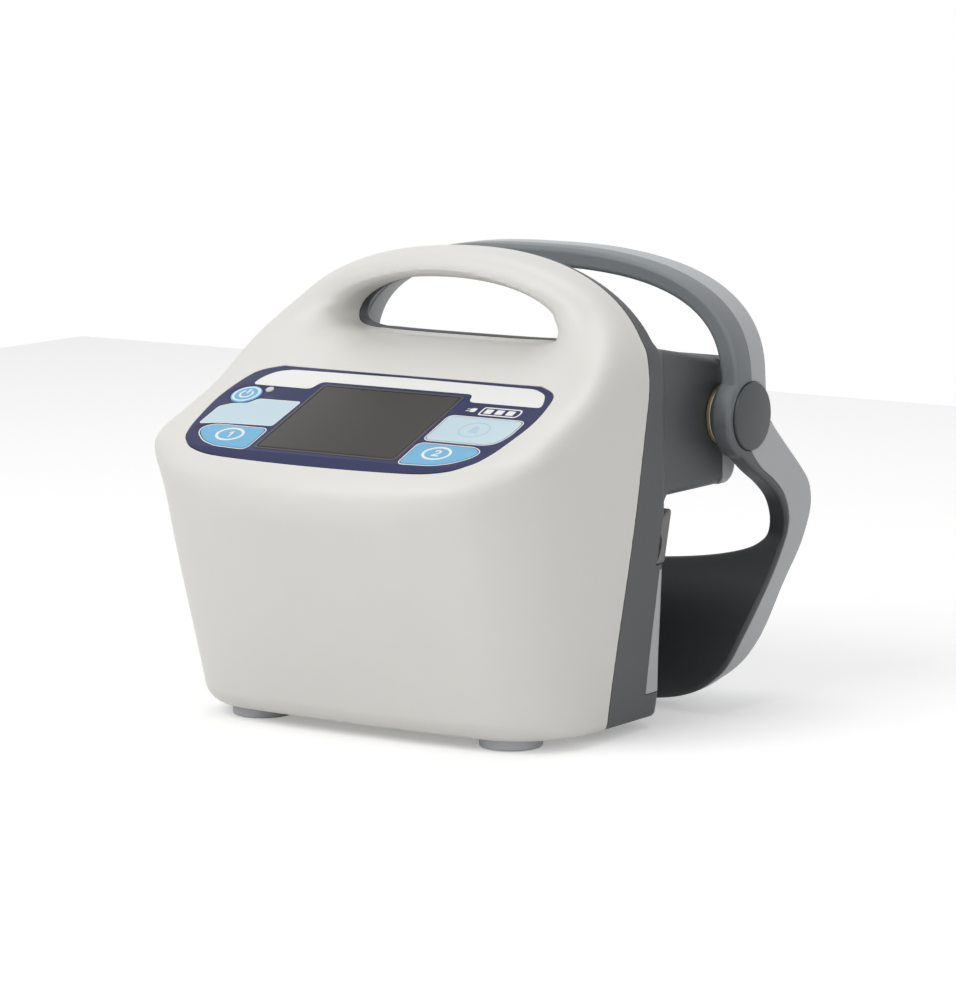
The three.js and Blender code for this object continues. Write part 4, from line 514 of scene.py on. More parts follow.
def on_side(name, outline, side, near, far, edge=0.0):
    """A piece or cutter along X between two distances from the middle, on one side of the pump."""
    low, high = sorted((side * near, side * far))
    return sheet(name, [outline], low, high, ALONG_X, edge)


def rod(name, radius, x, z, low, high, edge=0.0, sides=64):
    """A turned piece or a drill along Y, between two distances in front of the layout's zero."""
    return sheet(name, [ellipse(x, z, radius, radius, sides)], low, high, ALONG_Y, edge)


def pivot_bores():
    """Drills for the hook's two pins."""
    bore = ellipse(*PIVOT, PIVOT_BORE, PIVOT_BORE)
    return [on_side("bore", bore, side, 60, 90) for side in (-1, 1)]


rear_case = new_object("charcoal_case", case_points, case_faces, "case", "rear_case")
cut_off(rear_case, (0, SEAM_Y + HALF_SEAM, 0), -SEAM_NORMAL)
cut_off(rear_case, (0, BLOCK_END, 0), (0, 1, 0))
give_wall(rear_case, CASE_WALL)
cut_by(
    rear_case,
    sheet("zone", [door_zone], -95, 95, ALONG_X),
    sheet("window", [box_outline(54.2, PORT_LOW, 79.3, PORT_HIGH, 0.5)], -84, -60, ALONG_Y),
    sheet("window", [box_outline(-79.3, PORT_LOW, -54.2, PORT_HIGH, 0.5)], -84, -60, ALONG_Y),
    *[on_side("window", port_zone, side, 78.3, 90) for side in (1, -1)],
    sheet("window", [box_outline(-41.4, 63, -14.6, 81.8, 3)], -84, -60, ALONG_Y),
    sheet("room", [box_outline(-42.6, 61.8, -13.4, 83, 1)], -92, -82.6, ALONG_Y),
    *pivot_bores(),
    *[rod("bore", SCREW_BORE, x, SCREW_Z, -90, -60) for x in (SCREW_X, -SCREW_X)],
)
charcoal_plastic = moulded("charcoal_moulded_abs", (0.064, 0.069, 0.073), 0.45, grain=0.2)
dress(rear_case, charcoal_plastic)

# Battery door: a light grey skin let into the lower rear, wrapped round both rear corners. It is a
# piece of the case's own form, cut off along the recess and held by two screws.
DOOR_TOP_Y, DOOR_WALL = 79.2, 2.6
DOOR_FRONT_NORMAL = Vector((0, -45.8, 6.6)).normalized()
DOOR_SCREW_X, DOOR_SCREW_Z = 62, 46
door = new_object("battery_door_skin", case_points, case_faces, "case", "battery_door")
cut_off(door, (0, SEAM_Y + 1, 0), -SEAM_NORMAL)
cut_off(door, (0, 0, DOOR_HIGH), (0, 0, 1))
cut_off(door, (0, 0, DOOR_LOW), (0, 0, -1))
cut_off(door, (0, DOOR_TOP_Y, DOOR_HIGH), DOOR_FRONT_NORMAL)
give_wall(door, DOOR_WALL)


def bevel_edges(piece, width, segments, angle):
    """Rounds every edge that is sharper than an angle in degrees."""
    apply_modifier(
        piece, "BEVEL", width=width * MM, segments=segments,
        limit_method="ANGLE", angle_limit=math.radians(angle),
    )


bevel_edges(door, 0.4, 2, 50)
cut_by(
    door,
    *[rod("bore", 3.4, x, DOOR_SCREW_Z, -90, -80.2) for x in (DOOR_SCREW_X, -DOOR_SCREW_X)],
)
grey_plastic = moulded("light_grey_abs", (0.43, 0.44, 0.452), 0.42, grain=0.15)
dress(door, grey_plastic)

# Cover of the support block: a light grey cap with well rounded rear edges, which closes the block
# and clamps the two pivot bushes.
LOW_ROUND, HIGH_ROUND = (130.5, 92.5, 7.5), (133.2, 128.2, 4.8)
y, z, radius = LOW_ROUND
turns = np.linspace(0, math.pi / 2, 15)[1:]
cover_side = [(120, z - radius), (y, z - radius)]
cover_side += [(y + radius * math.sin(a), z - radius * math.cos(a)) for a in turns]
y, z, radius = HIGH_ROUND
turns = np.linspace(0, math.pi / 2 - 0.17, 12)
cover_side += [(y + radius * math.cos(a), z + radius * math.sin(a)) for a in turns]
cover_side += [(127.7, 134), (120, 135.2)]
cover = sheet("support_block_cover", [cover_side], -BLOCK_HALF, BLOCK_HALF, ALONG_X, 2.2)
placed(cover, "case", "block_cover")
cut_by(
    cover,
    sheet("front", [box_outline(100, 70, BLOCK_END + 0.3, 150, 0.1)], -90, 90, ALONG_X),
    *pivot_bores(),
)
dress(cover, grey_plastic)

# Hook: a ring-shaped plate bent to a side profile. The light grey frame lies behind and the dark
# rubber pad in front, with a fine seam between them. Rows give front, seam and rear of the profile
# as distances behind and below the pivot, in shares of the profile's length.
PROFILE_LENGTH = 109
PROFILE = [
    (-0.151, 0, 0.002, 0, 0.124, 0), (-0.105, 0.098, 0.002, 0.06, 0.15, 0.035),
    (-0.048, 0.139, 0.006, 0.12, 0.186, 0.07), (0.037, 0.198, 0.074, 0.187, 0.27, 0.142),
    (0.131, 0.252, 0.161, 0.239, 0.35, 0.211), (0.206, 0.311, 0.231, 0.296, 0.407, 0.27),
    (0.243, 0.377, 0.266, 0.366, 0.427, 0.335), (0.24, 0.432, 0.262, 0.427, 0.41, 0.402),
    (0.2, 0.484, 0.218, 0.499, 0.348, 0.5), (0.135, 0.563, 0.152, 0.58, 0.231, 0.618),
    (0.02, 0.683, 0.04, 0.7, 0.117, 0.753), (-0.048, 0.788, -0.027, 0.797, 0.047, 0.836),
    (-0.073, 0.917, -0.051, 0.92, 0.002, 0.92), (-0.076, 1.03, -0.054, 1.03, -0.01, 1.03),
]
UPPER_ROWS, HOOK_TOP, ARCH_FRONT, ARCH_REAR = 6, 180, 116, 138
FRONT_LINE, SEAM_LINE, REAR_LINE = 0, 1, 2
TURNED_SIDES = 96
lower = np.array(PROFILE).reshape(-1, 3, 2) * (PROFILE_LENGTH, -PROFILE_LENGTH) + PIVOT
upper_z = HOOK_TOP + (PIVOT[1] - HOOK_TOP) * np.arange(UPPER_ROWS) / UPPER_ROWS
upper = np.array([[(ARCH_FRONT, z), (lower[0, 1, 0], z), (ARCH_REAR, z)] for z in upper_z])
stations = np.concatenate([upper, lower])
lengths = np.linalg.norm(np.diff(stations[:, SEAM_LINE], axis=0), axis=1)
runs = np.concatenate([[0], np.cumsum(lengths)])
runs -= runs[UPPER_ROWS]


def profile_at(line, run):
    """Points (y, z) of one line of the hook's profile at lengths along it below the pivot."""
    points = stations[:, line]
    i = np.clip(np.searchsorted(runs, run) - 1, 0, len(points) - 2)
    t = np.clip((run - runs[i]) / (runs[i + 1] - runs[i]), 0, 1)[..., None]
    return on_spline(points, i, t)


def edge_at(place, half_x, mid_top, rise, top_power, mid_low, fall, low_power):
    """One edge of the ring: 0 to 1 is the arch's quarter, 1 to 2 the side, 2 to 3 the paddle's."""
    turn = np.where(place < 1, (place - 1), np.maximum(place - 2, 0)) * math.pi / 2
    power = np.where(place < 1, top_power, low_power)
    x = half_x * np.abs(np.cos(turn)) ** (2 / power)
    middle = mid_top + (mid_low - mid_top) * np.clip(place - 1, 0, 1)
    reach = np.where(place < 1, -rise, fall)
    return np.stack([x, middle + reach * np.abs(np.sin(turn)) ** (2 / power)], -1)


fine_place = np.linspace(0, 3, 6001)
ARCH_MID = PIVOT[1] - SHOULDER
OUTER_SIZES = (93, ARCH_MID, 50, 2.65, 70, 64.8, 4.7)
INNER_SIZES = (85.3, ARCH_MID, 42.6, 2.8, 60, 19, 2.6)
both = edge_at(fine_place, *OUTER_SIZES), edge_at(fine_place, *INNER_SIZES)
steps = sum(np.linalg.norm(np.diff(edge, axis=0), axis=1) for edge in both)
travel = np.concatenate([[0], np.cumsum(steps)])
half_places = np.interp(np.linspace(0, travel[-1], 150), travel, fine_place)
outer_half, inner_half = edge_at(half_places, *OUTER_SIZES), edge_at(half_places, *INNER_SIZES)
MIRROR = np.array((-1, 1))
outer_edge = np.concatenate([outer_half, outer_half[-2:0:-1] * MIRROR])
inner_edge = np.concatenate([inner_half, inner_half[-2:0:-1] * MIRROR])


def ring_layer(name, line, near_radius, far_radius, body, *nodes):
    """The ring's front or rear layer: its section has rounded corners and slides round the ring."""
    arc = np.linspace(0, math.pi / 2, 6)
    middle = np.linspace(0, 1, 17)[1:-1]
    spots = []
    for inner, far in ((0, 0), (0, 1), (1, 1), (1, 0)):
        corner = [(inner, far, 1 - math.sin(a), 1 - math.cos(a)) for a in arc]
        spots += corner if inner == far else corner[::-1]
        if (inner, far) == (0, 1):
            spots += [(0.5, 1, share, 0) for share in middle]
        if (inner, far) == (1, 0):
            spots += [(0.5, 0, share, 0) for share in middle[::-1]]
    inner, far, across, deep = np.array(spots).T
    radius = np.where(far == 1, far_radius, near_radius)
    width = np.linalg.norm(outer_edge - inner_edge, axis=1)[:, None]
    share = np.where(inner == 0, across * radius / width, 1 - across * radius / width)
    share = np.where(inner == 0.5, across + (0.5 - across) * 2 * radius / width, share)
    place = outer_edge[:, None] + (inner_edge - outer_edge)[:, None] * share[..., None]
    near_point = profile_at(SEAM_LINE, place[..., 1])
    far_point = profile_at(line, place[..., 1])
    depth = np.linalg.norm(far_point - near_point, axis=-1)
    inset = deep * np.minimum(radius, 0.45 * depth) / depth
    part = np.where(far == 1, 1 - inset, inset + 0.15 / depth)[..., None]
    flat = near_point + (far_point - near_point) * part
    points = np.concatenate([place[..., :1], flat], -1)
    rings, sides = points.shape[:2]
    index = np.arange(rings * sides).reshape(rings, sides)
    after, beside = np.roll(index, -1, axis=0), np.roll(index, -1, axis=1)
    faces = np.stack([index, beside, np.roll(after, -1, axis=1), after], -1).reshape(-1, 4)
    piece = new_object(name, points.reshape(-1, 3), faces, body, *nodes)
    edit_all(piece)
    bpy.ops.mesh.normals_make_consistent(inside=False)
    bpy.ops.object.mode_set(mode="OBJECT")
    return piece


def pivot_disc(name, side, radius, near, far, edge=0.0):
    """A turned piece or cutter on the hook's axis, between two distances from the middle."""
    return on_side(name, ellipse(*PIVOT, radius, radius, TURNED_SIDES), side, near, far, edge)


def edit_none(piece, kind):
    """Enters edit mode for edges or faces with nothing selected."""
    select_only(piece)
    bpy.ops.object.mode_set(mode="EDIT")
    bpy.ops.mesh.select_mode(type=kind)
    bpy.ops.mesh.select_all(action="DESELECT")


def close_openings(piece):
    """Fills the open rims that a cut has left."""
    edit_none(piece, "EDGE")
    bpy.ops.mesh.select_non_manifold()
    bpy.ops.mesh.edge_face_add()
    bpy.ops.object.mode_set(mode="OBJECT")


def join_to(piece, *others):
    for other in others:
        apply_modifier(piece, "BOOLEAN", operation="UNION", object=other, solver="EXACT")
        bpy.data.objects.remove(other)


COLLAR_RADIUS, HUB_RADIUS, SEAT_RADIUS = 12, 16.2, 13.2
hook_frame = ring_layer("hook_plate", REAR_LINE, 0.35, 1.4, "hook", "hook_frame")
hook_pad = ring_layer("hook_rubber_pad", FRONT_LINE, 0.5, 1.8, "hook", "hook_pad")
for side in (-1, 1):
    disc = pivot_disc("disc", side, COLLAR_RADIUS, 82.2, 86, 0.5)
    front = pivot_disc("front", side, HUB_RADIUS, 85, 92.6, 1.6)
    cut_off(front, (0, PIVOT[0] + 0.1, 0), (0, 1, 0))
    close_openings(front)
    join_to(hook_pad, disc, front)
    for layer in (hook_pad, hook_frame):
        cut_by(layer, pivot_disc("seat", side, SEAT_RADIUS, 92, 99))
dress(hook_frame, grey_plastic)
pad_rubber_painted_shading = moulded("pad_rubber_painted_shading", (0.06, 0.066, 0.07), 0.48, grain=0.2, scale=1800)
# Painted light and shade: the pad's colour is multiplied by a ramp on height, from 0.5 on the low
# paddle as painted shade up to 3 on the arch as a painted lit face.
nodes, links = pad_rubber_painted_shading.node_tree.nodes, pad_rubber_painted_shading.node_tree.links
height = nodes.new("ShaderNodeSeparateXYZ")
links.new(nodes["Texture Coordinate"].outputs["Object"], height.inputs[0])
painted_light_ramp = nodes.new("ShaderNodeMapRange")
painted_light_ramp.interpolation_type = "SMOOTHSTEP"
painted_light_ramp.inputs["From Min"].default_value = 0.06
painted_light_ramp.inputs["From Max"].default_value = 0.15
painted_light_ramp.inputs["To Min"].default_value = 0.5
painted_light_ramp.inputs["To Max"].default_value = 3
links.new(height.outputs["Z"], painted_light_ramp.inputs["Value"])
shade = nodes.new("ShaderNodeMix")
shade.data_type = "RGBA"
shade.blend_type = "MULTIPLY"
shade.inputs["Factor"].default_value = 1
links.new(nodes["Mix"].outputs["Result"], shade.inputs["A"])
links.new(painted_light_ramp.outputs["Result"], shade.inputs["B"])
links.new(shade.outputs["Result"], nodes["Principled BSDF"].inputs["Base Color"])
dress(hook_pad, pad_rubber_painted_shading)

# Pivot caps and bushes: a dark disc closes each hub, and the flange of a pale bronze bush shows as
# a thin ring between the support block and the hub.
bush_metal = moulded(
    "sintered_bronze", (0.55, 0.47, 0.33), 0.38, grain=0.1, mottle=0.08, metal=0.85
)
cap_plastic = moulded("cap_plastic", (0.05, 0.053, 0.056), 0.4, grain=0.15)
SIDES = ((-1, "left"), (1, "right"))
for side, word in SIDES:
    cap = pivot_disc("hub_cap_" + word, side, 12.9, 92.2, 94.3, 0.7)
    placed(cap, "hook", "pivot_cap_" + word)
    dress(cap, cap_plastic)
    ring = pivot_disc("bush_ring_" + word, side, 11.6, 80.2, 82, 0.3)
    placed(ring, "case", "pivot_bush_" + word)
    dress(ring, bush_metal)

# Feet: four turned grey rubber feet under the corners of the floor, each pressed into its seat.
# The tread is slightly hollow, with a rounded rim.
FOOT_RADIUS, FOOT_HIGH, FOOT_X, REAR_FEET_ROW = 11.7, 3.9, 55.8, 69
TREAD_WIDTH, TREAD_HOLLOW, RIM_ROUND = 3, 0.5, 1.3
foot_rubber = moulded("grey_foot_rubber", (0.5, 0.51, 0.53), 0.7, grain=0.25, mottle=0.06)


def pick(piece, test, kind):
    """Enters edit mode with the edges or faces chosen whose corners all pass a test."""
    edit_none(piece, kind)
    bpy.ops.object.mode_set(mode="OBJECT")
    mesh = piece.data
    for part in mesh.edges if kind == "EDGE" else mesh.polygons:
        corners = np.array([mesh.vertices[v].co for v in part.vertices]) / MM - (0, SHIFT, 0)
        part.select = bool(test(corners))
    bpy.ops.object.mode_set(mode="EDIT")


def on_floor(corners):
    return np.all(corners[:, 2] < 0.1)


def foot_rim(x, y):
    """A test for the outer rim of the tread of the foot at a place."""
    def test(corners):
        reach = np.hypot(corners[:, 0] - x, corners[:, 1] - y)
        return on_floor(corners) and np.ptp(reach) < 0.01 and np.all(reach > FOOT_RADIUS - 0.2)
    return test


for row, y in (("front", FEET_ROW), ("rear", REAR_FEET_ROW)):
    for side, word in SIDES:
        x = side * FOOT_X
        bpy.ops.object.select_all(action="DESELECT")
        bpy.ops.mesh.primitive_cylinder_add(
            vertices=TURNED_SIDES, radius=FOOT_RADIUS * MM, depth=FOOT_HIGH * MM,
            location=to_metres((x, y, FOOT_HIGH / 2)),
        )
        foot = bpy.context.object
        foot.name = "rubber_foot_" + row + "_" + word
        bpy.ops.object.transform_apply(location=True, rotation=True, scale=True)
        pick(foot, on_floor, "FACE")
        bpy.ops.mesh.inset(thickness=TREAD_WIDTH * MM)
        bpy.ops.transform.translate(value=(0, 0, TREAD_HOLLOW * MM))
        bpy.ops.object.mode_set(mode="OBJECT")
        pick(foot, foot_rim(x, y), "EDGE")
        bpy.ops.mesh.bevel(offset=RIM_ROUND * MM, segments=5, affect="EDGES")
        bpy.ops.object.mode_set(mode="OBJECT")
        placed(foot, "case", "foot_" + row + "_" + word)
        dress(foot, foot_rubber)

# Tube ports: a grey wedge-shaped socket at each rear corner, wrapped round to the side, with an
# oval socket for a hose set, three nipples in it and a narrow black grip slot on the side.
PORT_X, PORT_Z = 67.05, 72.4
PORT_INNER, PORT_OUTER, PORT_FLOOR, PORT_ROOF = 54.5, 82.2, 61.4, 78.8
PORT_FACE = [(82.8, PORT_FLOOR), (87.6, 79.9), (86.9, 81.4), (82.5, PORT_ROOF)]
SOCKET_HALF, SOCKET_RISE = 9.2, 5.2
NIPPLE_SPACING, NIPPLE_RADIUS, NIPPLE_BORE = 6, 1.9, 0.9
GRIP_FRONT = [(77.4, 62.4), (79.5, 65), (80.7, 68), (80.8, 70.6), (79.8, 73)]
GRIP_BACK = [(79.8, 73), (78.7, 67.7), (77.4, 62.4)]
port_body = [(69, PORT_FLOOR), *PORT_FACE, (69, PORT_ROOF)]
port_wrap = [(76.9, PORT_FLOOR), *PORT_FACE, (80.5, PORT_ROOF)]
grip_slot = [*spline_through(GRIP_FRONT, 24), *spline_through(GRIP_BACK, 12)[1:-1]]
port_plastic = moulded("grey_port_plastic", (0.16, 0.157, 0.155), 0.45, grain=0.15)
slot_plastic = moulded("black_slot_plastic", (0.012, 0.012, 0.013), 0.4)


def merge(piece, *others):
    """Joins pieces that only touch into one object."""
    select_only(piece)
    for other in others:
        other.select_set(True)
    bpy.ops.object.join()
    return bpy.context.object


for side, word in SIDES:
    port = on_side("tube_port_" + word + "_body", port_body, side, PORT_INNER, 79.6)
    join_to(port, on_side("wrap", port_wrap, side, 75, PORT_OUTER))
    bevel_edges(port, 0.8, 4, 40)
    x = side * PORT_X
    socket = box_outline(
        x - SOCKET_HALF, PORT_Z - SOCKET_RISE, x + SOCKET_HALF, PORT_Z + SOCKET_RISE, SOCKET_RISE
    )
    cut_by(
        port,
        sheet("socket", [socket], -95, -73, ALONG_Y),
        on_side("slot", grip_slot, side, 81, 90),
    )
    placed(port, "case", "tube_port_" + word)
    dress(port, port_plastic)
    nipples = []
    for step in (-NIPPLE_SPACING, 0, NIPPLE_SPACING):
        nipple = rod("nipple", NIPPLE_RADIUS, x + step, PORT_Z, -78.6, -72.5, 0.4, 32)
        cut_by(nipple, rod("bore", NIPPLE_BORE, x + step, PORT_Z, -80, -74, sides=24))
        nipples.append(nipple)
    nipples = merge(*nipples)
    nipples.name = "port_nipples_" + word
    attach(nipples, "case")
    dress(nipples, port_plastic)
    slot = on_side("grip_slot_" + word, grip_slot, side, 80.8, 81.1)
    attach(slot, "case")
    give(slot, slot_plastic)

# Mains inlet: a black socket with a rounded flange on the rear wall, a deep hollow and three flat
# pins for a mains lead.
HOLLOW_CORNERS = [
    (-39.8, 64.6), (-16.2, 64.6), (-16.2, 77), (-19.2, 80.2), (-36.8, 80.2), (-39.8, 77),
]
PIN_HALF, PIN_RISE, PIN_SPOTS = 1, 2, ((-34.9, 70.4), (-28, 74.4), (-21.1, 70.4))
black_plastic = moulded("black_plastic", (0.02, 0.021, 0.022), 0.45, grain=0.15)
hollow = rounded(HOLLOW_CORNERS, 1.4)
flange = box_outline(-42, 62.4, -14, 82.4, 2.6)
sleeve = box_outline(-41.1, 63.3, -14.9, 81.5, 2.2)
inlet_floor = box_outline(-41, 63.4, -15, 81.4, 2.2)
inlet = merge(
    sheet("mains_inlet_socket", [flange, hollow], -84.4, -82.8, ALONG_Y, 0.4),
    sheet("sleeve", [sleeve, hollow], -83, -68, ALONG_Y),
    sheet("floor", [inlet_floor], -69.6, -66.4, ALONG_Y),
)
placed(inlet, "case", "mains_inlet")
dress(inlet, black_plastic)
steel = moulded(
    "zinc_plated_steel", (0.48, 0.48, 0.48), 0.35, grain=0.1, mottle=0.08, metal=0.9
)
for number, (x, z) in enumerate(PIN_SPOTS):
    blade = box_outline(x - PIN_HALF, z - PIN_RISE, x + PIN_HALF, z + PIN_RISE, 0.4)
    pin = sheet("inlet_pin_%d" % (number + 1), [blade], -78.2, -69, ALONG_Y, 0.3)
    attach(pin, "case")
    dress(pin, steel)

# Screws: pan heads with a cross recess, two behind the handle's legs and two in the battery door.
# One is modelled at the layout's zero, and the rest are copies with their own mesh.
CROSS_LONG, CROSS_WIDE = 1.7, 0.4
screw = rod("case_screw", 3, 0, 0, 0, 2.2, 0.7, 48)
shank = rod("shank", 1.6, 0, 0, -10, 0.2, sides=24)
cut_by(
    screw,
    *[
        sheet("cross", [box_outline(-x, -z, x, z, 0.1)], 1, 4, ALONG_Y)
        for x, z in ((CROSS_LONG, CROSS_WIDE), (CROSS_WIDE, CROSS_LONG))
    ],
)
screw = merge(screw, shank)
slide_back = Matrix.Translation((0, -SHIFT * MM, 0))
screw.data.transform(SLIDE @ Matrix.Rotation(math.pi, 4, "Z") @ slide_back)
smooth_shaded(screw)
for name, x, y, z in (
    ("case_screw_upper", SCREW_X, 79.5, SCREW_Z),
    ("door_screw", DOOR_SCREW_X, 80.3, DOOR_SCREW_Z),
):
    for side, word in SIDES:
        copy = bpy.data.objects.new(name + "_" + word + "_head", screw.data.copy())
        bpy.context.collection.objects.link(copy)
        copy.data.transform(Matrix.Translation((side * x * MM, y * MM, z * MM)))
        placed(copy, "case", name + "_" + word)
        give(copy, steel)
bpy.data.objects.remove(screw)

# Control overlay: a navy printed film on the deck with a white label strip, a pale field on the
# left, and windows for the display, the keys and the status light. Each print is a thin layer of
# ink laid on the film.
light_outline = ellipse(-51.9, 40.7, 1.7, 1.7, 32)
windows = [grown(outline, FILM_GAP) for outline in (screen_outline, *key_outlines, light_outline)]
overlay = sheet("overlay_film", [panel_outline, *windows], -0.7, 0, DECK, 0.1)
placed(overlay, "case", "control_overlay")
navy_print = moulded(
    "navy_print", (0.009, 0.012, 0.075), 0.42, grain=0.04, mottle=0.05, specular=0.25
)
dress(overlay, navy_print)
white_print = moulded("white_print", (0.82, 0.82, 0.80), 0.34, grain=0.04, coat=0.2)
pale_print = moulded("pale_blue_print", (0.53, 0.67, 0.74), 0.4, grain=0.04)
black_print = moulded("black_print", (0.018, 0.018, 0.022), 0.3, grain=0.03)
STRIP_CORNERS = [
    (-62, 43.7), (-61.3, 49.5), (-58, 54.4), (-52, 56.7), (0, 57.4), (56.5, 56.8), (62.6, 53.6),
    (65.2, 48.6), (66.7, 43.9), (35.4, 43.9), (33.8, 49.6), (-33.8, 49.6), (-35.4, 43.7),
]
FIELD_CORNERS = [
    (-65, 12.6), (-64.9, 25.5), (-61, 28.2), (-54.6, 29.4), (-51.8, 33.2), (-33.2, 33.5),
    (-33.7, 15.2), (-50, 14.6), (-58, 14.1),
]
BATTERY_CORNERS = [
    (44.2, 35.4), (60.4, 35.4), (61.4, 37.2), (61.4, 39.6), (60.4, 41.4), (44.2, 41.4),
]


def printed(name, outlines, material, body="case", height=0.05, base=0.0):
    """A thin layer of ink on the film or on a key."""
    piece = sheet(name, outlines, base, base + height, DECK)
    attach(piece, body)
    give(piece, material)


printed("label_strip", [rounded(STRIP_CORNERS, 2.4)], white_print)
pale_field = rounded(FIELD_CORNERS, 1.2)
printed("pale_field_edge", [grown(pale_field, 0.4)], white_print)
printed("pale_field", [pale_field], pale_print, height=0.09)
screen_frame = box_outline(-31.8, -1.2, 31.8, 47.9, 2.6)
screen_window = grown(screen_outline, FILM_GAP)
printed("screen_border", [screen_frame, screen_window], black_print, height=0.07)
for name, outline in (("left", left_side_key), ("right", side_key), ("mute", mute_key)):
    ring = [grown(outline, 0.75), grown(outline, 0.3)]
    printed(name + "_key_outline", ring, white_print)
battery = rounded(BATTERY_CORNERS, 1.2)
printed("battery_symbol", [battery, grown(battery, -0.7)], white_print)
BAR_X, BAR_STEP, BAR_WIDTH = 46, 4.7, 3.2
for number in range(3):
    x = BAR_X + BAR_STEP * number
    bar = box_outline(x, 36.8, x + BAR_WIDTH, 40, 0.4)
    printed("battery_bar_%d" % (number + 1), [bar], white_print)
printed("plug_symbol", [box_outline(39.6, 37.2, 42, 40, 0.9)], white_print)
for number, v in enumerate((37.8, 39.2)):
    prong = box_outline(37.9, v - 0.2, 39.8, v + 0.2, 0.1)
    printed("plug_pin_%d" % (number + 1), [prong], white_print)

# Display: a dark glass lens with a bevelled rim, glued in its window in the overlay over the
# display module. Switched off, it is one dark and nearly even field.
lens = sheet("display_glass", [screen_outline], -1.2, 0.1, DECK, 0.25)
placed(lens, "case", "display_lens")
glass = moulded("dark_glass", (0.042, 0.039, 0.035), 0.35, mottle=0.1, specular=0.15)
dress(lens, glass)

# Keys: four raised film keys in windows of the overlay, each over a click switch on the key board.
# They are printed blue or pale blue, and a white or grey icon of ink moves with each key.
KEY_TOP = 0.25
blue_print = moulded("blue_key_print", (0.14, 0.42, 0.66), 0.38, grain=0.04)
for name, outline, ink, slot in (
    ("power", power_key, blue_print, "blue_key"),
    ("left", left_side_key, blue_print, "blue_key"),
    ("right", side_key, blue_print, "blue_key"),
    ("mute", mute_key, pale_print, "pale_key"),
):
    key = sheet(name + "_key_cap", [outline], -0.9, KEY_TOP, DECK, 0.3)
    placed(key, name + "_key", name + "_key")
    dress(key, ink)
ring_print = moulded("ring_print", (0.62, 0.78, 0.88), 0.34, grain=0.04, coat=0.2)
grey_print = moulded("grey_print", (0.42, 0.58, 0.68), 0.34, grain=0.04, coat=0.2)
ARC_OUTER, ARC_INNER, ARC_GAP = 2.9, 2.1, 0.6
NUMERAL_ONE = [
    (-46.4, 4.1), (-45.7, 4.1), (-45.7, 8.3), (-46.3, 8.3), (-47.6, 7.3), (-47.3, 6.8),
    (-46.4, 7.4),
]
NUMERAL_TWO = [
    (43.9, 4), (47, 4), (47, 4.7), (45.1, 4.7), (46.6, 6.2), (46.9, 7.2), (46.3, 8.1),
    (45.3, 8.4), (44.3, 8.1), (43.8, 7.2), (44.5, 7), (45.3, 7.7), (46.1, 7.1), (45.9, 6.5),
    (43.9, 4.7),
]
BELL_CORNERS = [
    (47.6, 22.4), (52.4, 22.4), (51.6, 24), (51.3, 26.2), (50, 27.2), (48.7, 26.2), (48.4, 24),
]


def icon(key, name, outlines, material):
    printed(name, outlines, material, body=key + "_key", height=0.06, base=KEY_TOP - 0.01)


def power_arc_line(radius, turns):
    return [(POWER_X + radius * math.sin(a), POWER_V + radius * math.cos(a)) for a in turns]


power_ring = [ellipse(POWER_X, POWER_V, radius, radius) for radius in (5.6, 4.6)]
icon("power", "power_ring", power_ring, ring_print)
turns = np.linspace(ARC_GAP, 2 * math.pi - ARC_GAP, 40)
arc = power_arc_line(ARC_OUTER, turns) + power_arc_line(ARC_INNER, turns[::-1])
icon("power", "power_arc", [arc], white_print)
icon("power", "power_bar", [box_outline(-59.8, 36.3, -59, 39.5, 0.3)], white_print)
for key, x, v in (("left", -46.6, 6.2), ("right", 45.4, 6)):
    ring = [ellipse(x, v, 6, 4.7), ellipse(x, v, 4.9, 3.7)]
    icon(key, key + "_icon_ring", ring, white_print)
icon("left", "numeral_one", [NUMERAL_ONE], white_print)
icon("right", "numeral_two", [NUMERAL_TWO], white_print)
mute_ring = [ellipse(50, 24.4, 6.4, 5.4), ellipse(50, 24.4, 5.7, 4.8)]
icon("mute", "mute_ring", mute_ring, grey_print)
icon("mute", "mute_bell", [rounded(BELL_CORNERS, 0.8)], grey_print)

# Status light: a small dome of milky clear plastic beside the power key. It is pushed through its
# hole in the overlay and stands a little above it.
light = sheet("status_dome", [light_outline], -2, 0.5, DECK, 0.45)
placed(light, "case", "status_light")
clear = moulded("milky_clear_plastic", (0.62, 0.62, 0.58), 0.25)
dress(light, clear)

# Pieces inside the case and its fittings: they keep their CAD shape, and get their own finishes
# here, from the green of the boards to the clear vinyl of the hoses.
board_resin = moulded("board_resin", (0.012, 0.09, 0.04), 0.5, grain=0.05, mottle=0.2)
wrap_film = moulded("battery_wrap", (0.04, 0.11, 0.27), 0.45, grain=0.05)
hose_vinyl = moulded("clear_vinyl", (0.7, 0.73, 0.72), 0.4, grain=0.05)
INSIDE = {
    "black_plastic": black_plastic,
    "circuit_board": board_resin,
    "steel": steel,
    "battery_wrap": wrap_film,
    "clear_hose": hose_vinyl,
    "foot_rubber": foot_rubber,
}
for part in frame["record"]["subparts"]:
    if part["material_slot"] in INSIDE:
        for holder in frame["nodes"][part["node"]].material_slots:
            holder.material = INSIDE[part["material_slot"]]

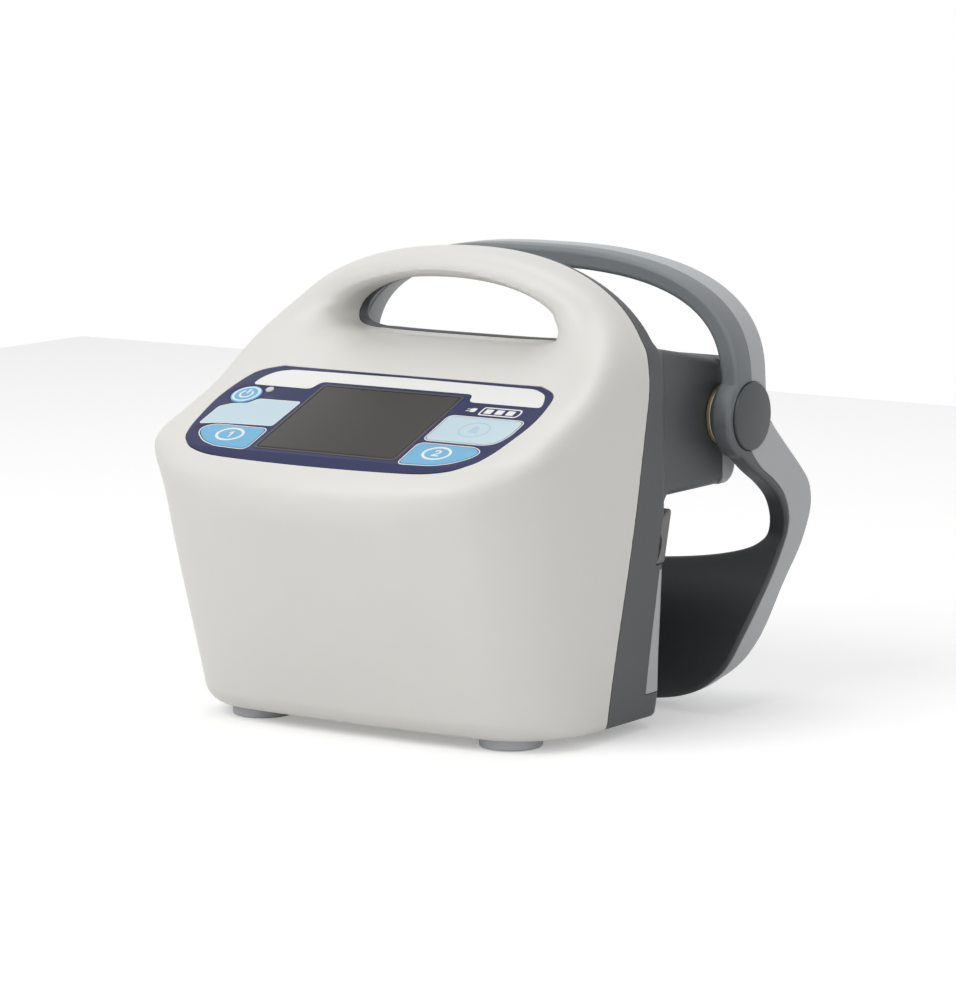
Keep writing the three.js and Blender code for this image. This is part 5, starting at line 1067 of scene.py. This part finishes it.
# Camera, light and floor: the pump stands on a white sweep under large soft lamps, seen from the
# front right and a little above, as in the photograph.
TURN, TILT, FOCUS, SCALE = 0.591618120, 0.147608683, 4757.0, 2.69397557
PHOTO_HIGH, SENSOR_HIGH = 1000, 24
AIM_PX = (415.637465 - 478.0, 508.851774 - 500.0)
AIM_POINT = (0.0, 40.0, 80.0)
right = np.array([math.cos(TURN), math.sin(TURN), 0.0])
up = np.array([-math.sin(TURN) * math.sin(TILT), math.cos(TURN) * math.sin(TILT), math.cos(TILT)])
back = np.array([math.sin(TURN) * math.cos(TILT), -math.cos(TURN) * math.cos(TILT), math.sin(TILT)])
eye = np.array(AIM_POINT) + back * FOCUS / SCALE
eye = eye - right * AIM_PX[0] / SCALE + up * AIM_PX[1] / SCALE
camera_data = bpy.data.cameras.new("studio_camera")
camera = bpy.data.objects.new("studio_camera", camera_data)
bpy.context.collection.objects.link(camera)
rows = zip(np.stack([right, up, back], 1), to_metres(eye))
camera.matrix_world = Matrix([[*row, place] for row, place in rows] + [[0, 0, 0, 1]])
camera_data.sensor_fit = "VERTICAL"
camera_data.sensor_height = SENSOR_HIGH
camera_data.lens = FOCUS / PHOTO_HIGH * SENSOR_HIGH
camera_data.clip_end = 20
bpy.context.scene.camera = camera

bpy.ops.mesh.primitive_plane_add(size=1.8)
floor = bpy.context.object
floor.name = "studio_floor"
floor_material = bpy.data.materials.new("white_sweep")
floor_material.use_nodes = True
tree = floor_material.node_tree
shader = tree.nodes["Principled BSDF"]
shader.inputs["Base Color"].default_value = (0.86, 0.86, 0.86, 1)
shader.inputs["Roughness"].default_value = 0.9
shader.inputs["Specular IOR Level"].default_value = 0.1
glow = tree.nodes.new("ShaderNodeEmission")
glow.inputs["Strength"].default_value = 0.3
dark = tree.nodes.new("ShaderNodeEmission")
dark.inputs["Strength"].default_value = 0
seen = tree.nodes.new("ShaderNodeMixShader")
total = tree.nodes.new("ShaderNodeAddShader")


def straight_rays(tree):
    """1 for rays from the camera, straight or by way of a gloss or a clear piece; 0 for others."""
    ray = tree.nodes.new("ShaderNodeLightPath")
    value = ray.outputs["Is Camera Ray"]
    for kind in ("Is Glossy Ray", "Is Transmission Ray"):
        larger = tree.nodes.new("ShaderNodeMath")
        larger.operation = "MAXIMUM"
        tree.links.new(value, larger.inputs[0])
        tree.links.new(ray.outputs[kind], larger.inputs[1])
        value = larger.outputs[0]
    return value


tree.links.new(straight_rays(tree), seen.inputs[0])
tree.links.new(dark.outputs[0], seen.inputs[1])
tree.links.new(glow.outputs[0], seen.inputs[2])
tree.links.new(shader.outputs[0], total.inputs[0])
tree.links.new(seen.outputs[0], total.inputs[1])
tree.links.new(total.outputs[0], tree.nodes["Material Output"].inputs["Surface"])
give(floor, floor_material)

world = bpy.data.worlds.new("studio_world")
bpy.context.scene.world = world
world.use_nodes = True
tree = world.node_tree
background = tree.nodes["Background"]
background.inputs["Color"].default_value = (1, 1, 1, 1)
background.inputs["Strength"].default_value = 0.42
white = tree.nodes.new("ShaderNodeBackground")
white.inputs["Color"].default_value = (1, 1, 1, 1)
white.inputs["Strength"].default_value = 1
choose = tree.nodes.new("ShaderNodeMixShader")
tree.links.new(straight_rays(tree), choose.inputs[0])
tree.links.new(background.outputs[0], choose.inputs[1])
tree.links.new(white.outputs[0], choose.inputs[2])
tree.links.new(choose.outputs[0], tree.nodes["World Output"].inputs["Surface"])

LAMP_TARGET, LAMP_SIZE = Vector((0, 0, 0.08)), 1.0
for name, place, power in (
    ("key_lamp", (-0.4, -1.2, 1.2), 12),
    ("side_lamp", (1.5, -0.8, 0.8), 5),
    ("top_lamp", (-0.1, 0.4, 1.7), 6.5),
):
    lamp_data = bpy.data.lights.new(name, "AREA")
    lamp_data.size = LAMP_SIZE
    lamp_data.energy = power
    lamp = bpy.data.objects.new(name, lamp_data)
    bpy.context.collection.objects.link(lamp)
    lamp.location = place
    lamp.rotation_euler = (LAMP_TARGET - Vector(place)).to_track_quat("-Z", "Y").to_euler()

bpy.context.scene.view_settings.view_transform = "Standard"
